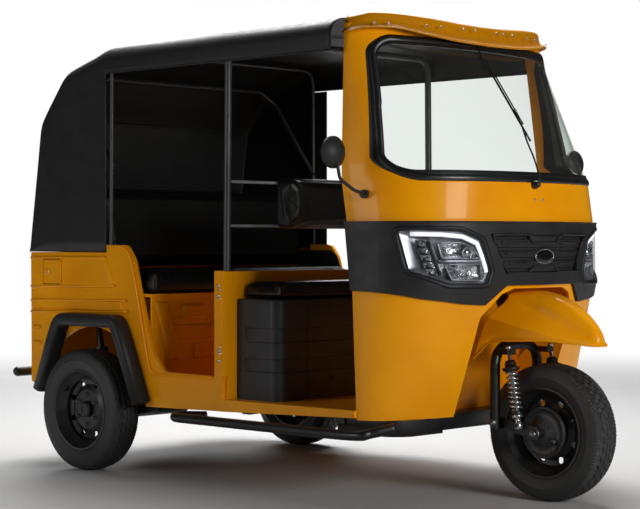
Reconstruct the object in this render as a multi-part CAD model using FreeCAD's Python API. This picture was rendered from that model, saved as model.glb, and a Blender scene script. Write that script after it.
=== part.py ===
"""Three-wheeled auto rickshaw: a pressed-steel cab on one steered front wheel and two driven rear wheels,
with a fabric hood over an open passenger space.

Millimetres, +X forward, +Y left, +Z up.  Stations along X are measured from the rear axle while the pieces
are made; each finished piece is then moved so that the origin is the bottom centre of the whole vehicle.
"""
import FreeCAD, Part
import math
import os

from FreeCAD import Vector

os.makedirs("parts", exist_ok=True)

# ---------------------------------------------------------------- driving dimensions
WHEEL_BASE = 1920.0
REAR_TRACK = 1260.0
TYRE_RADIUS = 254.0
TYRE_WIDTH = 140.0
RIM_SEAT_RADIUS = 152.4           # 12 inch bead seat
RIM_FLANGE_RADIUS = 168.0
RIM_WIDTH = 110.0
SKIN = 12.0                       # pressed cab wall with its return flange
FABRIC = 8.0                      # hood fabric with its lining
GAP = 0.4                         # assembly gap between neighbouring pieces

BODY_HALF = 625.0                 # outer face of the side panels
TAIL_X = -420.0                   # outer face of the tail
BULKHEAD_X = 800.0                # partition behind the driver
C_POST_X = 110.0
B_POST_X = 812.0
FLOOR_TOP = 342.0
BELT_Z = 910.0                    # top of the rear panels, where the hood is fastened
TOP_Z = 1800.0                    # highest point of the roof

STEER_RAKE = 22.0                 # degrees back from upright
FORK_X = 1754.0
FORK_HALF = 129.0
FORK_TOP_Z = 570.0
FORK_TUBE_RADIUS, FORK_BEND = 19.0, 75.0
LINK_PIVOT_Z = 286.0
RAIL_Z = (274.0, 318.0)          # chassis box rails
DAMPER_LOW_X = WHEEL_BASE - 58.0

REAR_END_X = -491.0               # back of the bumper bar
FRONT_END_X = WHEEL_BASE + TYRE_RADIUS
CENTRE_X = (REAR_END_X + FRONT_END_X) / 2

# Plan sections of the cab front: height, back edge, half width there, nose on the centre line, corner radius
CAB_SECTIONS = (
    (312.0, 1500.0, 612.0, 1700.0, 156.0),
    (800.0, 1475.0, 608.0, 1872.0, 322.0),
    (1040.0, 1445.0, 606.0, 1879.0, 343.0),
    (1170.0, 1421.0, 604.0, 1870.0, 377.0),
    (1240.0, 1415.0, 600.0, 1848.0, 392.0),
    (1690.0, 1385.0, 556.0, 1600.0, 200.0),
    (1760.0, 1380.0, 549.0, 1561.0, 143.0),
)
CORNER_TURNS = (math.radians(15.0), math.radians(75.0))     # where the corner arc starts and ends

PIECES = {}


# ---------------------------------------------------------------- shape helpers
def block(x, y, z):
    """A box from three (low, high) pairs."""
    return Part.makeBox(x[1] - x[0], y[1] - y[0], z[1] - z[0], Vector(x[0], y[0], z[0]))


def rod(start, end, radius):
    """A round bar between two points."""
    start, end = Vector(*start), Vector(*end)
    return Part.makeCylinder(radius, (end - start).Length, start, end - start)


def ball(centre, radius):
    return Part.makeSphere(radius, Vector(*centre))


def join(shapes):
    """One solid from touching shapes."""
    first = shapes[0]
    return first.fuse(list(shapes[1:])).removeSplitter()


def mirrored(shape):
    """The same piece on the other side of the vehicle."""
    return shape.mirror(Vector(0, 0, 0), Vector(0, 1, 0))


def rounded_wire(points, radii):
    """Closed outline through 3-D corner points; each corner has its own radius (0 leaves it sharp)."""
    count = len(points)
    corners = [Vector(*p) for p in points]
    starts, ends, arcs = [], [], []
    for i in range(count):
        here = corners[i]
        back = (corners[i - 1] - here).normalize()
        ahead = (corners[(i + 1) % count] - here).normalize()
        if radii[i] <= 0:
            starts.append(here)
            ends.append(here)
            arcs.append(None)
            continue
        half = back.getAngle(ahead) / 2
        run = radii[i] / math.tan(half)
        middle = (back + ahead).normalize()
        centre = here + middle * (radii[i] / math.sin(half))
        starts.append(here + back * run)
        ends.append(here + ahead * run)
        arcs.append(centre - middle * radii[i])
    edges = []
    for i in range(count):
        if arcs[i] is not None:
            edges.append(Part.Arc(starts[i], arcs[i], ends[i]).toShape())
        leave, reach = ends[i], starts[(i + 1) % count]
        if (reach - leave).Length > 1e-6:
            edges.append(Part.LineSegment(leave, reach).toShape())
    return Part.Wire(edges)


def side_plate(outline, y_low, y_high, radii=None):
    """A plate whose outline is given as (x, z) corners, from y_low to y_high."""
    wire = rounded_wire([(x, y_low, z) for x, z in outline], radii or [0] * len(outline))
    return Part.Face(wire).extrude(Vector(0, y_high - y_low, 0))


def front_plate(outline, x_low, x_high, radii=None):
    """A plate whose outline is given as (y, z) corners, from x_low to x_high."""
    wire = rounded_wire([(x_low, y, z) for y, z in outline], radii or [0] * len(outline))
    return Part.Face(wire).extrude(Vector(x_high - x_low, 0, 0))


def tube(points, radius, bend):
    """A bar along straight runs joined by tangent arcs."""
    path = [Vector(*p) for p in points]
    edges = []
    here = path[0]
    for i in range(1, len(path) - 1):
        back = (path[i - 1] - path[i]).normalize()
        ahead = (path[i + 1] - path[i]).normalize()
        half = back.getAngle(ahead) / 2
        run = bend / math.tan(half)
        middle = (back + ahead).normalize()
        centre = path[i] + middle * (bend / math.sin(half))
        first, last = path[i] + back * run, path[i] + ahead * run
        edges.append(Part.LineSegment(here, first).toShape())
        edges.append(Part.Arc(first, centre - middle * bend, last).toShape())
        here = last
    edges.append(Part.LineSegment(here, path[-1]).toShape())
    wire = Part.Wire(edges)
    ring = Part.Wire([Part.makeCircle(radius, path[0], path[1] - path[0])])
    return wire.makePipeShell([ring], True, False)


def turned(profile, centre):
    """A ring turned about the Y line through centre, from (radius, y) corners."""
    x, y, z = centre
    points = [Vector(x, y + across, z + radius) for radius, across in profile]
    face = Part.Face(Part.makePolygon(points + points[:1]))
    return face.revolve(Vector(x, y, z), Vector(0, 1, 0), 360)


def slanted(distance, foot=(FORK_X, 0.0, FORK_TOP_Z)):
    """A point on the steering axis, a distance up from its foot."""
    rake = math.radians(STEER_RAKE)
    return (foot[0] - distance * math.sin(rake), 0.0, foot[2] + distance * math.cos(rake))


def add(name, shape, cut_by=()):
    """Keep a finished piece, with room made in it for the pieces named."""
    for other in cut_by:
        shape = shape.cut(PIECES[other])
    PIECES[name] = shape


# ---------------------------------------------------------------- cab front
def plan_section(z, back, half, nose, corner, grow=0.0, extend=0.0):
    """Closed plan outline: straight sides, then a flank arc, a corner arc and a nose arc, all tangent."""
    half, nose, corner = half + grow, nose + grow, corner + grow
    first, last = CORNER_TURNS
    along = nose - back - corner * (math.sin(last) - math.sin(first))
    inward = half - corner * (math.cos(first) - math.cos(last))
    # flank and nose radii that close the outline: two equations, one for each direction
    scale = math.sin(first) * math.cos(last) - (1 - math.sin(last)) * (1 - math.cos(first))
    flank = (along * math.cos(last) - inward * (1 - math.sin(last))) / scale
    broad = (inward * math.sin(first) - along * (1 - math.cos(first))) / scale
    here = Vector(back, -half, z)
    right = []
    for radius, low, high in ((flank, 0.0, first), (corner, first, last), (broad, last, math.pi / 2)):
        middle, end = [here + Vector(math.sin(turn) - math.sin(low), math.cos(low) - math.cos(turn), 0) * radius
                       for turn in ((low + high) / 2, high)]
        right.append((here, middle, end))
        here = end
    left = [[Vector(at.x, -at.y, z) for at in reversed(arc)] for arc in reversed(right)]
    edges = [Part.Arc(*arc).toShape() for arc in right + left]
    corners = [left[-1][2], right[0][0]]
    if extend > 0:
        corners[1:1] = [Vector(back - extend, half, z), Vector(back - extend, -half, z)]
    edges += [Part.LineSegment(start, end).toShape() for start, end in zip(corners, corners[1:])]
    return Part.Wire(edges)


def cab_solid(grow, extend=0.0):
    """The filled cab front, with its faces moved outwards by grow and its straight sides run back."""
    wires = [plan_section(*section, grow, extend) for section in CAB_SECTIONS]
    return Part.makeLoft(wires, True, True)


def cab_skin(outer, inner):
    """The wall of the cab front between two offsets, open at the back."""
    return cab_solid(outer).cut(cab_solid(inner, 30.0))


WIDE = (1300.0, 2000.0)
APRON_OPENING_HALF = 280.0
NOTCH_Z = 797.0
# One side of the wheel opening in the apron, from its foot to its top: (y, z)
APRON_OPENING_EDGE = ((-280.0, 300.0), (-280.0, 680.0), (-205.0, 765.0), (-150.0, 785.0))
PANEL_TOP_Z = 1030.0
PANEL_PROUD = 14.0
# Lower edge of the black panel from the flange to the notch: (y, z)
PANEL_LOW_EDGE = ((-660.0, 792.0), (-520.0, 752.0), (-385.0, 733.0), (-286.0, 726.0), (-204.0, NOTCH_Z))
LAMP_OUTLINE = ((-575.0, 1002.0), (-412.0, 995.0), (-326.0, 962.0), (-284.0, 850.0), (-301.0, 802.0),
                (-450.0, 804.0), (-556.0, 850.0))
LAMP_RADII = (14.0, 60.0, 24.0, 26.0, 16.0, 60.0, 24.0)
LAMP_FIT = 0.994                   # lamp outline as a share of the hole it sits in
LAMP_SUNK, LAMP_DEPTH = 6.0, 46.0
GRILLE_OUTLINE = ((-285.0, 982.0), (-211.0, 843.0), (211.0, 843.0), (285.0, 982.0))
SCREEN_LOW_Z = 1184.0
SCREEN_TOP_Z = 1709.0
SCREEN_LOW_HALF = 590.0
SCREEN_TOP_HALF = 526.0
SEAL_WIDTH = 30.0
SEAL_PROUD = 5.0
SEAL_BEHIND = 4.0                  # how far the seal reaches behind the wall
GLASS_DEPTH = (3.0, 8.0)           # outer and inner face of the glass behind the face of the wall
SEAL_SIDE_SHARE = 0.5              # share of a width that is seen from the front where the wall curves back


def screen_cutter(inset):
    """The windscreen outline pushed through the cab wall, drawn in by inset all round."""
    low, top = SCREEN_LOW_HALF - inset * SEAL_SIDE_SHARE, SCREEN_TOP_HALF - inset * SEAL_SIDE_SHARE
    outline = [(-low, SCREEN_LOW_Z + inset), (low, SCREEN_LOW_Z + inset),
               (top, SCREEN_TOP_Z - inset), (-top, SCREEN_TOP_Z - inset)]
    corner = 75.0 - inset / 2
    return front_plate(outline, *WIDE, radii=[corner] * 4)


def make_cab_front():
    wall = cab_skin(0.0, -SKIN)
    edge = list(PANEL_LOW_EDGE)
    panel_low = edge + [(-y, z) for y, z in reversed(edge)]
    panel_zone = front_plate(panel_low + [(700.0, PANEL_TOP_Z), (-700.0, PANEL_TOP_Z)], *WIDE)

    # black moulded panel that carries the lamps and the grille
    lamp_hole = front_plate(LAMP_OUTLINE, *WIDE, radii=[r + GAP for r in LAMP_RADII])
    grille_field = front_plate(GRILLE_OUTLINE, *WIDE, radii=[16.0] * 4)
    panel = cab_skin(PANEL_PROUD, -SKIN).common(panel_zone)
    for cutter in (lamp_hole, mirrored(lamp_hole), cab_skin(PANEL_PROUD + 5.0, 0.0).common(grille_field)):
        panel = panel.cut(cutter)
    add("front_panel", panel)

    centre = [sum(corner[axis] for corner in LAMP_OUTLINE) / len(LAMP_OUTLINE) for axis in (0, 1)]
    lamp_edge = [tuple(centre[axis] + (corner[axis] - centre[axis]) * LAMP_FIT for axis in (0, 1))
                 for corner in LAMP_OUTLINE]
    lamp = front_plate(lamp_edge, *WIDE, radii=LAMP_RADII).common(cab_solid(PANEL_PROUD - LAMP_SUNK))
    lamp = lamp.cut(cab_solid(-LAMP_DEPTH, 30.0))
    add("headlamps", Part.makeCompound([lamp, mirrored(lamp)]))

    # yellow pressed walls: apron beside the wheel, then cowl and windscreen frame in one pressing
    apron = wall.common(block(WIDE, (-700, 700), (312.0, PANEL_TOP_Z)))
    apron = apron.cut(panel_zone)
    right_edge = list(APRON_OPENING_EDGE)
    opening = front_plate(right_edge + [(-y, z) for y, z in reversed(right_edge)], *WIDE)
    add("front_apron", apron.cut(opening))
    frame = wall.common(block(WIDE, (-700, 700), (PANEL_TOP_Z + GAP, 1760.0)))
    for y in (-47.0, 3.0):         # two plain screw holes beside the wiper spindle
        frame = frame.cut(rod((1800.0, y, 1111.0), (1950.0, y, 1111.0), 4.0))
    add("windscreen_frame", frame.cut(screen_cutter(0.0)))

    seal = screen_cutter(GAP).common(cab_solid(SEAL_PROUD)).cut(cab_solid(-SKIN - SEAL_BEHIND, 30.0))
    add("windscreen_seal", seal.cut(screen_cutter(SEAL_WIDTH)))
    glass = screen_cutter(SEAL_WIDTH).common(cab_solid(-GLASS_DEPTH[0])).cut(cab_solid(-GLASS_DEPTH[1], 30.0))
    add("windscreen_glass", glass)


def make_wheel_house():
    """Inner wall behind and over the front wheel, with the welded head tube that the fork stem turns in."""
    outer = block((1500.0, 1860.0), (-292.0, 292.0), (312.0, 817.0))
    inner = block((1512.0, 1900.0), (-APRON_OPENING_HALF - GAP, APRON_OPENING_HALF + GAP), (300.0, 805.0))
    shell = outer.cut(inner).common(cab_solid(-SKIN - GAP))
    head = rod(slanted(230.0), slanted(400.0), 28.0)
    bore = rod(slanted(100.0), slanted(450.0), 16.05)
    brace = block((1488.0, 1500.0), (-30.0, 30.0), (FLOOR_TOP + GAP, 817.0))
    add("wheel_house", join([shell, head, brace]).cut(bore), ("headlamps",))


def make_dashboard():
    shelf = cab_solid(-SKIN - 6.0).common(block((1735.0, 1900.0), (-560.0, 560.0), (1120.0, 1160.0)))
    add("dashboard", shelf)


VISOR_BACK_X = 1382.0
VISOR_GAP = 1.5
VISOR_ROOM_Z = (1700.0, 1762.0)


def make_roof_visor():
    """Pressed cap over the windscreen head, standing forward of the glass and open underneath."""
    rows = ((1716.0, 560.0, 1622.0, 222.0), (1730.0, 566.0, 1640.0, 240.0), (1766.0, 560.0, 1622.0, 222.0),
            (1790.0, 540.0, 1588.0, 190.0), (TOP_Z - 3.0, 510.0, 1550.0, 140.0))
    wires = [plan_section(z, VISOR_BACK_X, half, nose, corner) for z, half, nose, corner in rows]
    room = [plan_section(z, VISOR_BACK_X - 12.0, 556.5, 1610.0, 215.0) for z in VISOR_ROOM_Z]
    cap = Part.makeLoft(wires, True, True).cut(cab_solid(VISOR_GAP))
    add("roof_visor", cap.cut(Part.makeLoft(room, True, True)))


def make_wiper():
    arm = join([rod((1880.0, -48.0, 1158.0), (1902.0, -48.0, 1172.0), 13.0),
                rod((1896.0, -48.0, 1168.0), (1722.0, 0.0, 1560.0), 4.0),
                rod((1806.0, 10.0, 1381.0), (1634.0, -43.0, 1700.0), 4.5)])
    add("wiper", arm, ("windscreen_frame", "windscreen_seal", "windscreen_glass"))


def make_mirrors():
    head_at = Vector(1500.0, -730.0, 1275.0)
    back = Part.makeSphere(75.0, head_at + Vector(-47.0, 0, 0))
    head = back.common(rod(head_at, head_at + Vector(40.0, 0, 0), 58.0))
    rim = rod(head_at - Vector(10.0, 0, 0), head_at, 58.0)
    arm = tube([(1532.0, -598.0, 1128.0), (1540.0, -668.0, 1140.0), (1526.0, -728.0, 1180.0),
                (1510.0, -730.0, 1262.0)], 6.0, 24.0)
    foot = rod((1529.0, -596.0, 1128.0), (1534.0, -612.0, 1128.0), 16.0)
    mirror = join([head, rim, arm, foot]).cut(cab_solid(GAP))
    add("mirrors", Part.makeCompound([mirror, mirrored(mirror)]))


# ---------------------------------------------------------------- body sides, floor and tail
# Outline of a rear side panel seen from the side: (x, z) and corner radius
QUARTER_OUTLINE = (
    (TAIL_X, 345.0, 12.0), (300.0, 284.0, 0.0), (798.0, 296.0, 4.0), (798.0, 431.0, 6.0),
    (455.0, 431.0, 45.0), (385.0, 505.0, 60.0), (312.0, 735.0, 120.0), (268.0, 885.0, 70.0),
    (222.0, 942.0, 40.0), (92.0, 942.0, 0.0), (92.0, BELT_Z, 0.0), (TAIL_X - 4.0, BELT_Z, 8.0),
)
ARCH_RADIUS = 345.0
PANEL_THICK = 24.0
FLAP_X = (-323.0, -204.0)
FLAP_Z = (776.0, 877.0)
FLAP_THICK = 3.0
FLAP_GAP = 5.0
FLAP_RECESS = 15.0
PRESS_DEPTH = 7.0                  # how far the pressed fields stand out of the panel
# Pressed fields as (x, z) corners with their radii: upper field, waist rib and the short tail pads
UPPER_FIELD = ((TAIL_X + 4.0, 752.0), (163.0, 765.0), (93.0, 899.0), (TAIL_X + 4.0, 895.0))
WAIST_RIB = ((TAIL_X + 4.0, 665.0), (226.0, 665.0), (204.0, 711.0), (TAIL_X + 4.0, 711.0))
TAIL_PADS = (((-410.0, 505.0), (-348.0, 505.0), (-348.0, 528.0), (-410.0, 528.0)),
             ((-410.0, 573.0), (-348.0, 573.0), (-348.0, 596.0), (-410.0, 596.0)))


def pressed_field(corners, radii):
    """A field pressed out of the right side panel, with bevelled flanks."""
    y_out, y_low = -BODY_HALF, -BODY_HALF + PRESS_DEPTH
    middle_x = sum(x for x, _ in corners) / len(corners)
    middle_z = sum(z for _, z in corners) / len(corners)
    wires = []
    for y, shrink in ((y_low + 0.5, 0.0), (y_out, 6.0)):
        inner = [(x + math.copysign(shrink, middle_x - x), y, z + math.copysign(shrink, middle_z - z))
                 for x, z in corners]
        wires.append(rounded_wire(inner, radii))
    return Part.makeLoft(wires, True, True)


def make_quarter_panels():
    """Pressed side panels: wheel arch, door cut, raised upper field, waist rib and the filler recess."""
    corners = [(x, z) for x, z, _ in QUARTER_OUTLINE]
    radii = [radius for _, _, radius in QUARTER_OUTLINE]
    y_out, y_in = -BODY_HALF + PRESS_DEPTH, -BODY_HALF + PANEL_THICK
    plate = side_plate(corners, y_out, y_in, radii)
    arch = rod((0, -800.0, TYRE_RADIUS), (0, 0.0, TYRE_RADIUS), ARCH_RADIUS)
    fields = [pressed_field(UPPER_FIELD, [8.0, 26.0, 20.0, 8.0]), pressed_field(WAIST_RIB, [6.0] * 4)]
    fields += [pressed_field(pad, [4.0] * 4) for pad in TAIL_PADS]
    plate = join([plate.cut(arch)] + fields)
    left = mirrored(plate)
    recess = block((FLAP_X[0] - FLAP_GAP, FLAP_X[1] + FLAP_GAP), (-BODY_HALF - 1, -BODY_HALF + FLAP_RECESS),
                   (FLAP_Z[0] - FLAP_GAP, FLAP_Z[1] + FLAP_GAP))
    add("quarter_panel_right", plate.cut(recess))
    add("quarter_panel_left", left)


def make_fuel_flap():
    """Square filler flap on the right side: lock at its rear edge, upright hinge pin at its front edge."""
    y_face = -BODY_HALF + 1.0
    x_pin, y_pin = FLAP_X[1] + 1.0, y_face - 3.0
    leaf = block((FLAP_X[0], FLAP_X[1] - 1.0), (y_face - FLAP_THICK, y_face), (FLAP_Z[0], FLAP_Z[1]))
    lock = rod((-305.0, y_face - FLAP_THICK - 3.0, 828.0), (-305.0, y_face - 1.0, 828.0), 8.0)
    barrel = rod((x_pin, y_pin, FLAP_Z[0] + 8), (x_pin, y_pin, FLAP_Z[1] - 8), 3.5)
    bore = rod((x_pin, y_pin, FLAP_Z[0] - 9), (x_pin, y_pin, FLAP_Z[1] + 9), 1.55)
    add("fuel_flap", join([leaf, lock, barrel]).cut(bore))
    pin = rod((x_pin, y_pin, FLAP_Z[0] - 8), (x_pin, y_pin, FLAP_Z[1] + 8), 1.5)
    ears = [rod((x_pin, y_pin, low), (x_pin, y_pin, low + 8.0), 3.5)
            for low in (FLAP_Z[0] - 8, FLAP_Z[1])]
    feet = [block((x_pin - 3.5, x_pin + 3.5), (y_pin, -BODY_HALF + FLAP_RECESS), (low, low + 4.0))
            for low in (FLAP_Z[0] - FLAP_GAP, FLAP_Z[1] + 1)]
    cap = rod((-263.0, -BODY_HALF + 12.0, 826.0), (-263.0, -BODY_HALF + 16.0, 826.0), 20.0)
    PIECES["quarter_panel_right"] = PIECES["quarter_panel_right"].fuse([cap, pin] + ears + feet)


def make_fender_flares():
    """Black moulded flares: a flat-topped hoop over each rear wheel."""
    outer = [(-330.0, 335.0), (-226.0, 575.0), (-186.0, 656.0), (212.0, 656.0), (246.0, 600.0), (378.0, 306.0)]
    inner = [(-323.0, 250.0), (-190.0, 560.0), (-160.0, 600.0), (186.0, 600.0), (212.0, 570.0), (355.0, 250.0)]
    band = side_plate(outer, -692.0, -BODY_HALF + 6.0, [4, 60, 60, 60, 60, 4])
    room = side_plate(inner, -700.0, -600.0, [0, 50, 60, 60, 50, 0])
    flare = band.cut(room)
    hollow = side_plate([(-347.0, 250.0), (-214.0, 572.0), (-178.0, 640.0), (204.0, 640.0), (236.0, 596.0),
                         (393.0, 250.0)], -680.0, -600.0, [0, 52, 52, 52, 52, 0])
    flare = flare.cut(hollow)
    flare = flare.cut(PIECES["quarter_panel_right"])
    add("fender_flares", Part.makeCompound([flare, mirrored(flare)]))


LID_HALF = 380.0
LID_Z = (420.0, 780.0)
LID_PIN = (-424.0, 796.0)          # x, z of the hinge line


def make_tail():
    """Tail wall with the engine lid, its hinge, lamps, number plate and bumper bar."""
    inner_y = BODY_HALF - PANEL_THICK - GAP
    wall = block((TAIL_X, TAIL_X + 12.0), (-inner_y, inner_y), (345.0, BELT_Z))
    gap = 6.0
    opening = block((TAIL_X - 5, TAIL_X + 20), (-LID_HALF - gap, LID_HALF + gap),
                    (LID_Z[0] - gap, LID_PIN[1] + 10.0))
    wall = wall.cut(opening)
    add("tail_panel", wall)
    x_pin, z_pin = LID_PIN
    leaf = block((TAIL_X - 8.0, TAIL_X + 2.0), (-LID_HALF, LID_HALF), LID_Z)
    straps, knuckles, ears = [], [], []
    for y in (-240.0, 240.0):
        straps.append(block((x_pin - 3.0, x_pin + 3.0), (y - 25.0, y + 25.0), (LID_Z[1] - 20.0, z_pin)))
        knuckles.append(rod((x_pin, y - 25.0, z_pin), (x_pin, y + 25.0, z_pin), 7.0))
        for side in (-1, 1):
            near, far = y + side * 26.0, y + side * 44.0
            ears.append(join([rod((x_pin, near, z_pin), (x_pin, far, z_pin), 7.0),
                              block((x_pin - 3.0, TAIL_X + 12.0), (min(near, far), max(near, far)),
                                    (z_pin, z_pin + 30.0))]))
    lid = join([leaf] + straps + knuckles)
    pins = []
    for y in (-240.0, 240.0):
        lid = lid.cut(rod((x_pin, y - 40.0, z_pin), (x_pin, y + 40.0, z_pin), 4.05))
        pins.append(rod((x_pin, y - 44.0, z_pin), (x_pin, y + 44.0, z_pin), 4.0))
    add("engine_lid", lid)
    PIECES["tail_panel"] = join([wall] + ears + pins)
    plate = block((TAIL_X - 12.0, TAIL_X - 10.0), (-150.0, 150.0), (520.0, 620.0))
    pads = [block((TAIL_X - 10.0, TAIL_X - 8.0), (-130.0, 130.0), (560.0, 580.0))]
    plate = join([plate] + pads)
    for y in (-100.0, 100.0):
        plate = plate.cut(rod((TAIL_X - 30, y, 570.0), (TAIL_X + 30, y, 570.0), 3.5))
        PIECES["engine_lid"] = PIECES["engine_lid"].cut(
            rod((TAIL_X - 30, y, 570.0), (TAIL_X + 30, y, 570.0), 3.5))
    add("number_plate", plate)
    lamp = block((TAIL_X - 34.0, TAIL_X), (430.0, 590.0), (600.0, 745.0))
    lamp = lamp.makeFillet(12.0, [edge for edge in lamp.Edges if edge.BoundBox.XLength > 20.0])
    add("tail_lamps", Part.makeCompound([lamp, mirrored(lamp)]))


def make_bumper():
    """Round rear bumper bar with ball ends, on two brackets from the chassis rails, with a tow eye."""
    x_bar, z_bar, radius, half = REAR_END_X + 21.0, 388.0, 21.0, 655.0
    bar = [rod((x_bar, -half, z_bar), (x_bar, half, z_bar), radius)]
    bar += [ball((x_bar, y, z_bar), radius) for y in (-half, half)]
    for y in (-250.0, 250.0):
        bar.append(side_plate([(x_bar, z_bar + 12.0), (x_bar, z_bar - 12.0), (-395.0, RAIL_Z[0]),
                               (-330.0, RAIL_Z[0]), (-330.0, RAIL_Z[1] - 10.0), (-395.0, RAIL_Z[1] - 5.0)],
                              y - 4.0, y + 4.0))
    eye = side_plate([(x_bar - 18.0, z_bar - 5.0), (x_bar - 18.0, 305.0), (x_bar + 34.0, 305.0),
                      (x_bar + 34.0, z_bar - 5.0)], -6.0, 6.0, [0, 18, 18, 0])
    eye = eye.cut(rod((x_bar + 8.0, -20.0, 330.0), (x_bar + 8.0, 20.0, 330.0), 12.0))
    add("rear_bumper", join(bar + [eye]))


def make_floor():
    """Floor sheet with its side sills."""
    half = BODY_HALF - PANEL_THICK - GAP
    floor = [block((300.0, 1487.0), (-half, half), (FLOOR_TOP - 14.0, FLOOR_TOP))]
    for side in (-1, 1):
        sill = side_plate([(800.0, 296.0), (1500.0, 320.0), (1500.0, 346.0), (800.0, FLOOR_TOP)],
                          side * (half - 4.0), side * BODY_HALF)
        floor.append(sill)
    add("floor_pan", join(floor), ("front_apron", "wheel_house"))


def make_bulkheads():
    """Sheet-metal partition behind the driver, and the bench base with its pressed stiffening fields."""
    half = BODY_HALF - PANEL_THICK - GAP
    add("bulkhead", block((BULKHEAD_X, BULKHEAD_X + 12.0), (-half, half), (FLOOR_TOP + GAP, 840.0)))
    base = [block((352.0, 362.0), (-half, half), (FLOOR_TOP + GAP, 742.0)),
            block((TAIL_X + 13.0, 352.0), (-half, half), (730.0, 742.0))]
    for y in (-480.0, -240.0, 0.0, 240.0, 480.0):
        base.append(block((362.0, 368.0), (y - 55.0, y + 55.0), (550.0, 640.0)))
    add("bench_base", join(base))


def make_b_posts():
    """Flanged door posts at the ends of the bulkhead."""
    posts = []
    for side in (-1, 1):
        face = block((760.0, 812.0), sorted((side * (BODY_HALF - 24.0), side * BODY_HALF)), (432.0, 842.0))
        posts.append(face.cut(PIECES["bulkhead"]))
    add("b_posts", Part.makeCompound(posts),
        ("quarter_panel_right", "quarter_panel_left", "floor_pan"))


def make_seats():
    """Bench and driver's seat; the driver's seat stands on a moulded box."""
    add("bench_cushion", block((0.0, 366.0), (-590.0, 590.0), (743.0, 838.0)))
    back = side_plate([(-8.0, 842.0), (82.0, 842.0), (-2.0, 1190.0), (-92.0, 1190.0)], -598.0, 598.0,
                      [10, 20, 40, 20])
    add("bench_backrest", back)
    base = block((BULKHEAD_X + 14.0, 1040.0), (-555.0, 555.0), (FLOOR_TOP + GAP, 735.0))
    upright = [edge for edge in base.Edges if edge.BoundBox.ZLength > 300.0 and edge.BoundBox.XMax > 1000.0]
    base = base.makeFillet(38.0, upright)
    for z in (545.0, 640.0):
        groove = block((BULKHEAD_X, 1060.0), (-600.0, 600.0), (z - 9.0, z + 9.0))
        keep = block((BULKHEAD_X, 1033.0), (-548.0, 548.0), (z - 9.0, z + 9.0))
        base = base.cut(groove.cut(keep))
    add("driver_seat_box", base)
    cushion = block((BULKHEAD_X + 16.0, 1030.0), (-528.0, 528.0), (736.0, 796.0))
    add("driver_cushion", cushion)
    rest = block((BULKHEAD_X + 26.0, BULKHEAD_X + 116.0), (-365.0, 365.0), (1000.0, 1214.0))
    rest = rest.makeFillet(34.0, [edge for edge in rest.Edges if edge.BoundBox.XLength > 80.0])
    add("driver_backrest", rest)


def make_grab_rails():
    """Two round rails between the B posts carry the driver's backrest."""
    rails = []
    for z in (1190.0, 1018.0):
        rails.append(rod((B_POST_X, -602.0, z), (B_POST_X, 602.0, z), 11.0))
    stays = [block((B_POST_X - 4.0, BULKHEAD_X + 25.5), (y - 12.0, y + 12.0), (1005.0, 1200.0))
             for y in (-220.0, 220.0)]
    add("backrest_rails", join(rails + stays))


# ---------------------------------------------------------------- hood
def hood_section(raise_by, grow):
    """Closed cross-section of the roof cloth: crowned top, round shoulders and short hanging lips."""
    half = 622.0 + grow
    lip, shoulder, rim = 1655.0 + raise_by, 1700.0 + raise_by, 1768.0 + raise_by + grow
    crown = 1786.0 + raise_by + grow
    spot = 0.7071
    arc_y, arc_z = half - 72.0 + 72.0 * spot, shoulder + (rim - shoulder) * spot
    return half, lip, shoulder, rim, crown, arc_y, arc_z


def hood_wire(x, raise_by):
    """The roof cloth as one thick band at station x."""
    rows = []
    for grow in (0.0, -FABRIC):
        half, lip, shoulder, rim, crown, arc_y, arc_z = hood_section(raise_by, grow)
        rows.append([Vector(x, -half, lip), Vector(x, -half, shoulder), Vector(x, -arc_y, arc_z),
                     Vector(x, -half + 72.0, rim), Vector(x, 0, crown), Vector(x, half - 72.0, rim),
                     Vector(x, arc_y, arc_z), Vector(x, half, shoulder), Vector(x, half, lip)])
    edges = []
    for row in rows:
        edges.append([Part.LineSegment(row[0], row[1]).toShape(),
                      Part.Arc(row[1], row[2], row[3]).toShape(),
                      Part.Arc(row[3], row[4], row[5]).toShape(),
                      Part.Arc(row[5], row[6], row[7]).toShape(),
                      Part.LineSegment(row[7], row[8]).toShape()])
    ends = [Part.LineSegment(rows[0][8], rows[1][8]).toShape(),
            Part.LineSegment(rows[1][0], rows[0][0]).toShape()]
    return Part.Wire(edges[0] + [ends[0]] + edges[1][::-1] + [ends[1]])


HOOD_BACK_LINE = ((60.0, 1778.0), (-190.0, 1690.0), (-348.0, 1482.0), (-432.0, BELT_Z + GAP))


def make_hood():
    """Fabric hood: roof over both seats, sloping back and flat quarter sides behind the C posts."""
    roof = Part.makeLoft([hood_wire(61.0, 0.0), hood_wire(1381.0, 13.0)], True, True)
    add("hood_roof", roof)
    outer = list(HOOD_BACK_LINE)
    inner = [(60.0, 1768.0), (-185.0, 1680.0), (-339.0, 1478.0), (-422.0, BELT_Z + GAP)]
    half = 622.0 - FABRIC - GAP
    add("hood_back", side_plate(outer + inner[::-1], -half, half))
    side = side_plate([(-432.0, BELT_Z + GAP), (C_POST_X - 18.0, BELT_Z + GAP), (C_POST_X - 18.0, 1654.0),
                       (60.0, 1654.0), (60.0, 1700.0), (-184.0, 1676.0), (-348.0, 1482.0)],
                      -622.0, -622.0 + FABRIC)
    add("hood_sides", Part.makeCompound([side, mirrored(side)]))


# Each hoop: station, height of its feet, height of its crossbar, half width at the crossbar, tube radius
HOOPS = ((C_POST_X, 943.0, 1746.0, 601.0, 8.0), (B_POST_X, 842.5, 1749.0, 597.0, 14.0))
HOOP_FOOT_HALF = 607.0
BOW_RADIUS = 9.0


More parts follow.
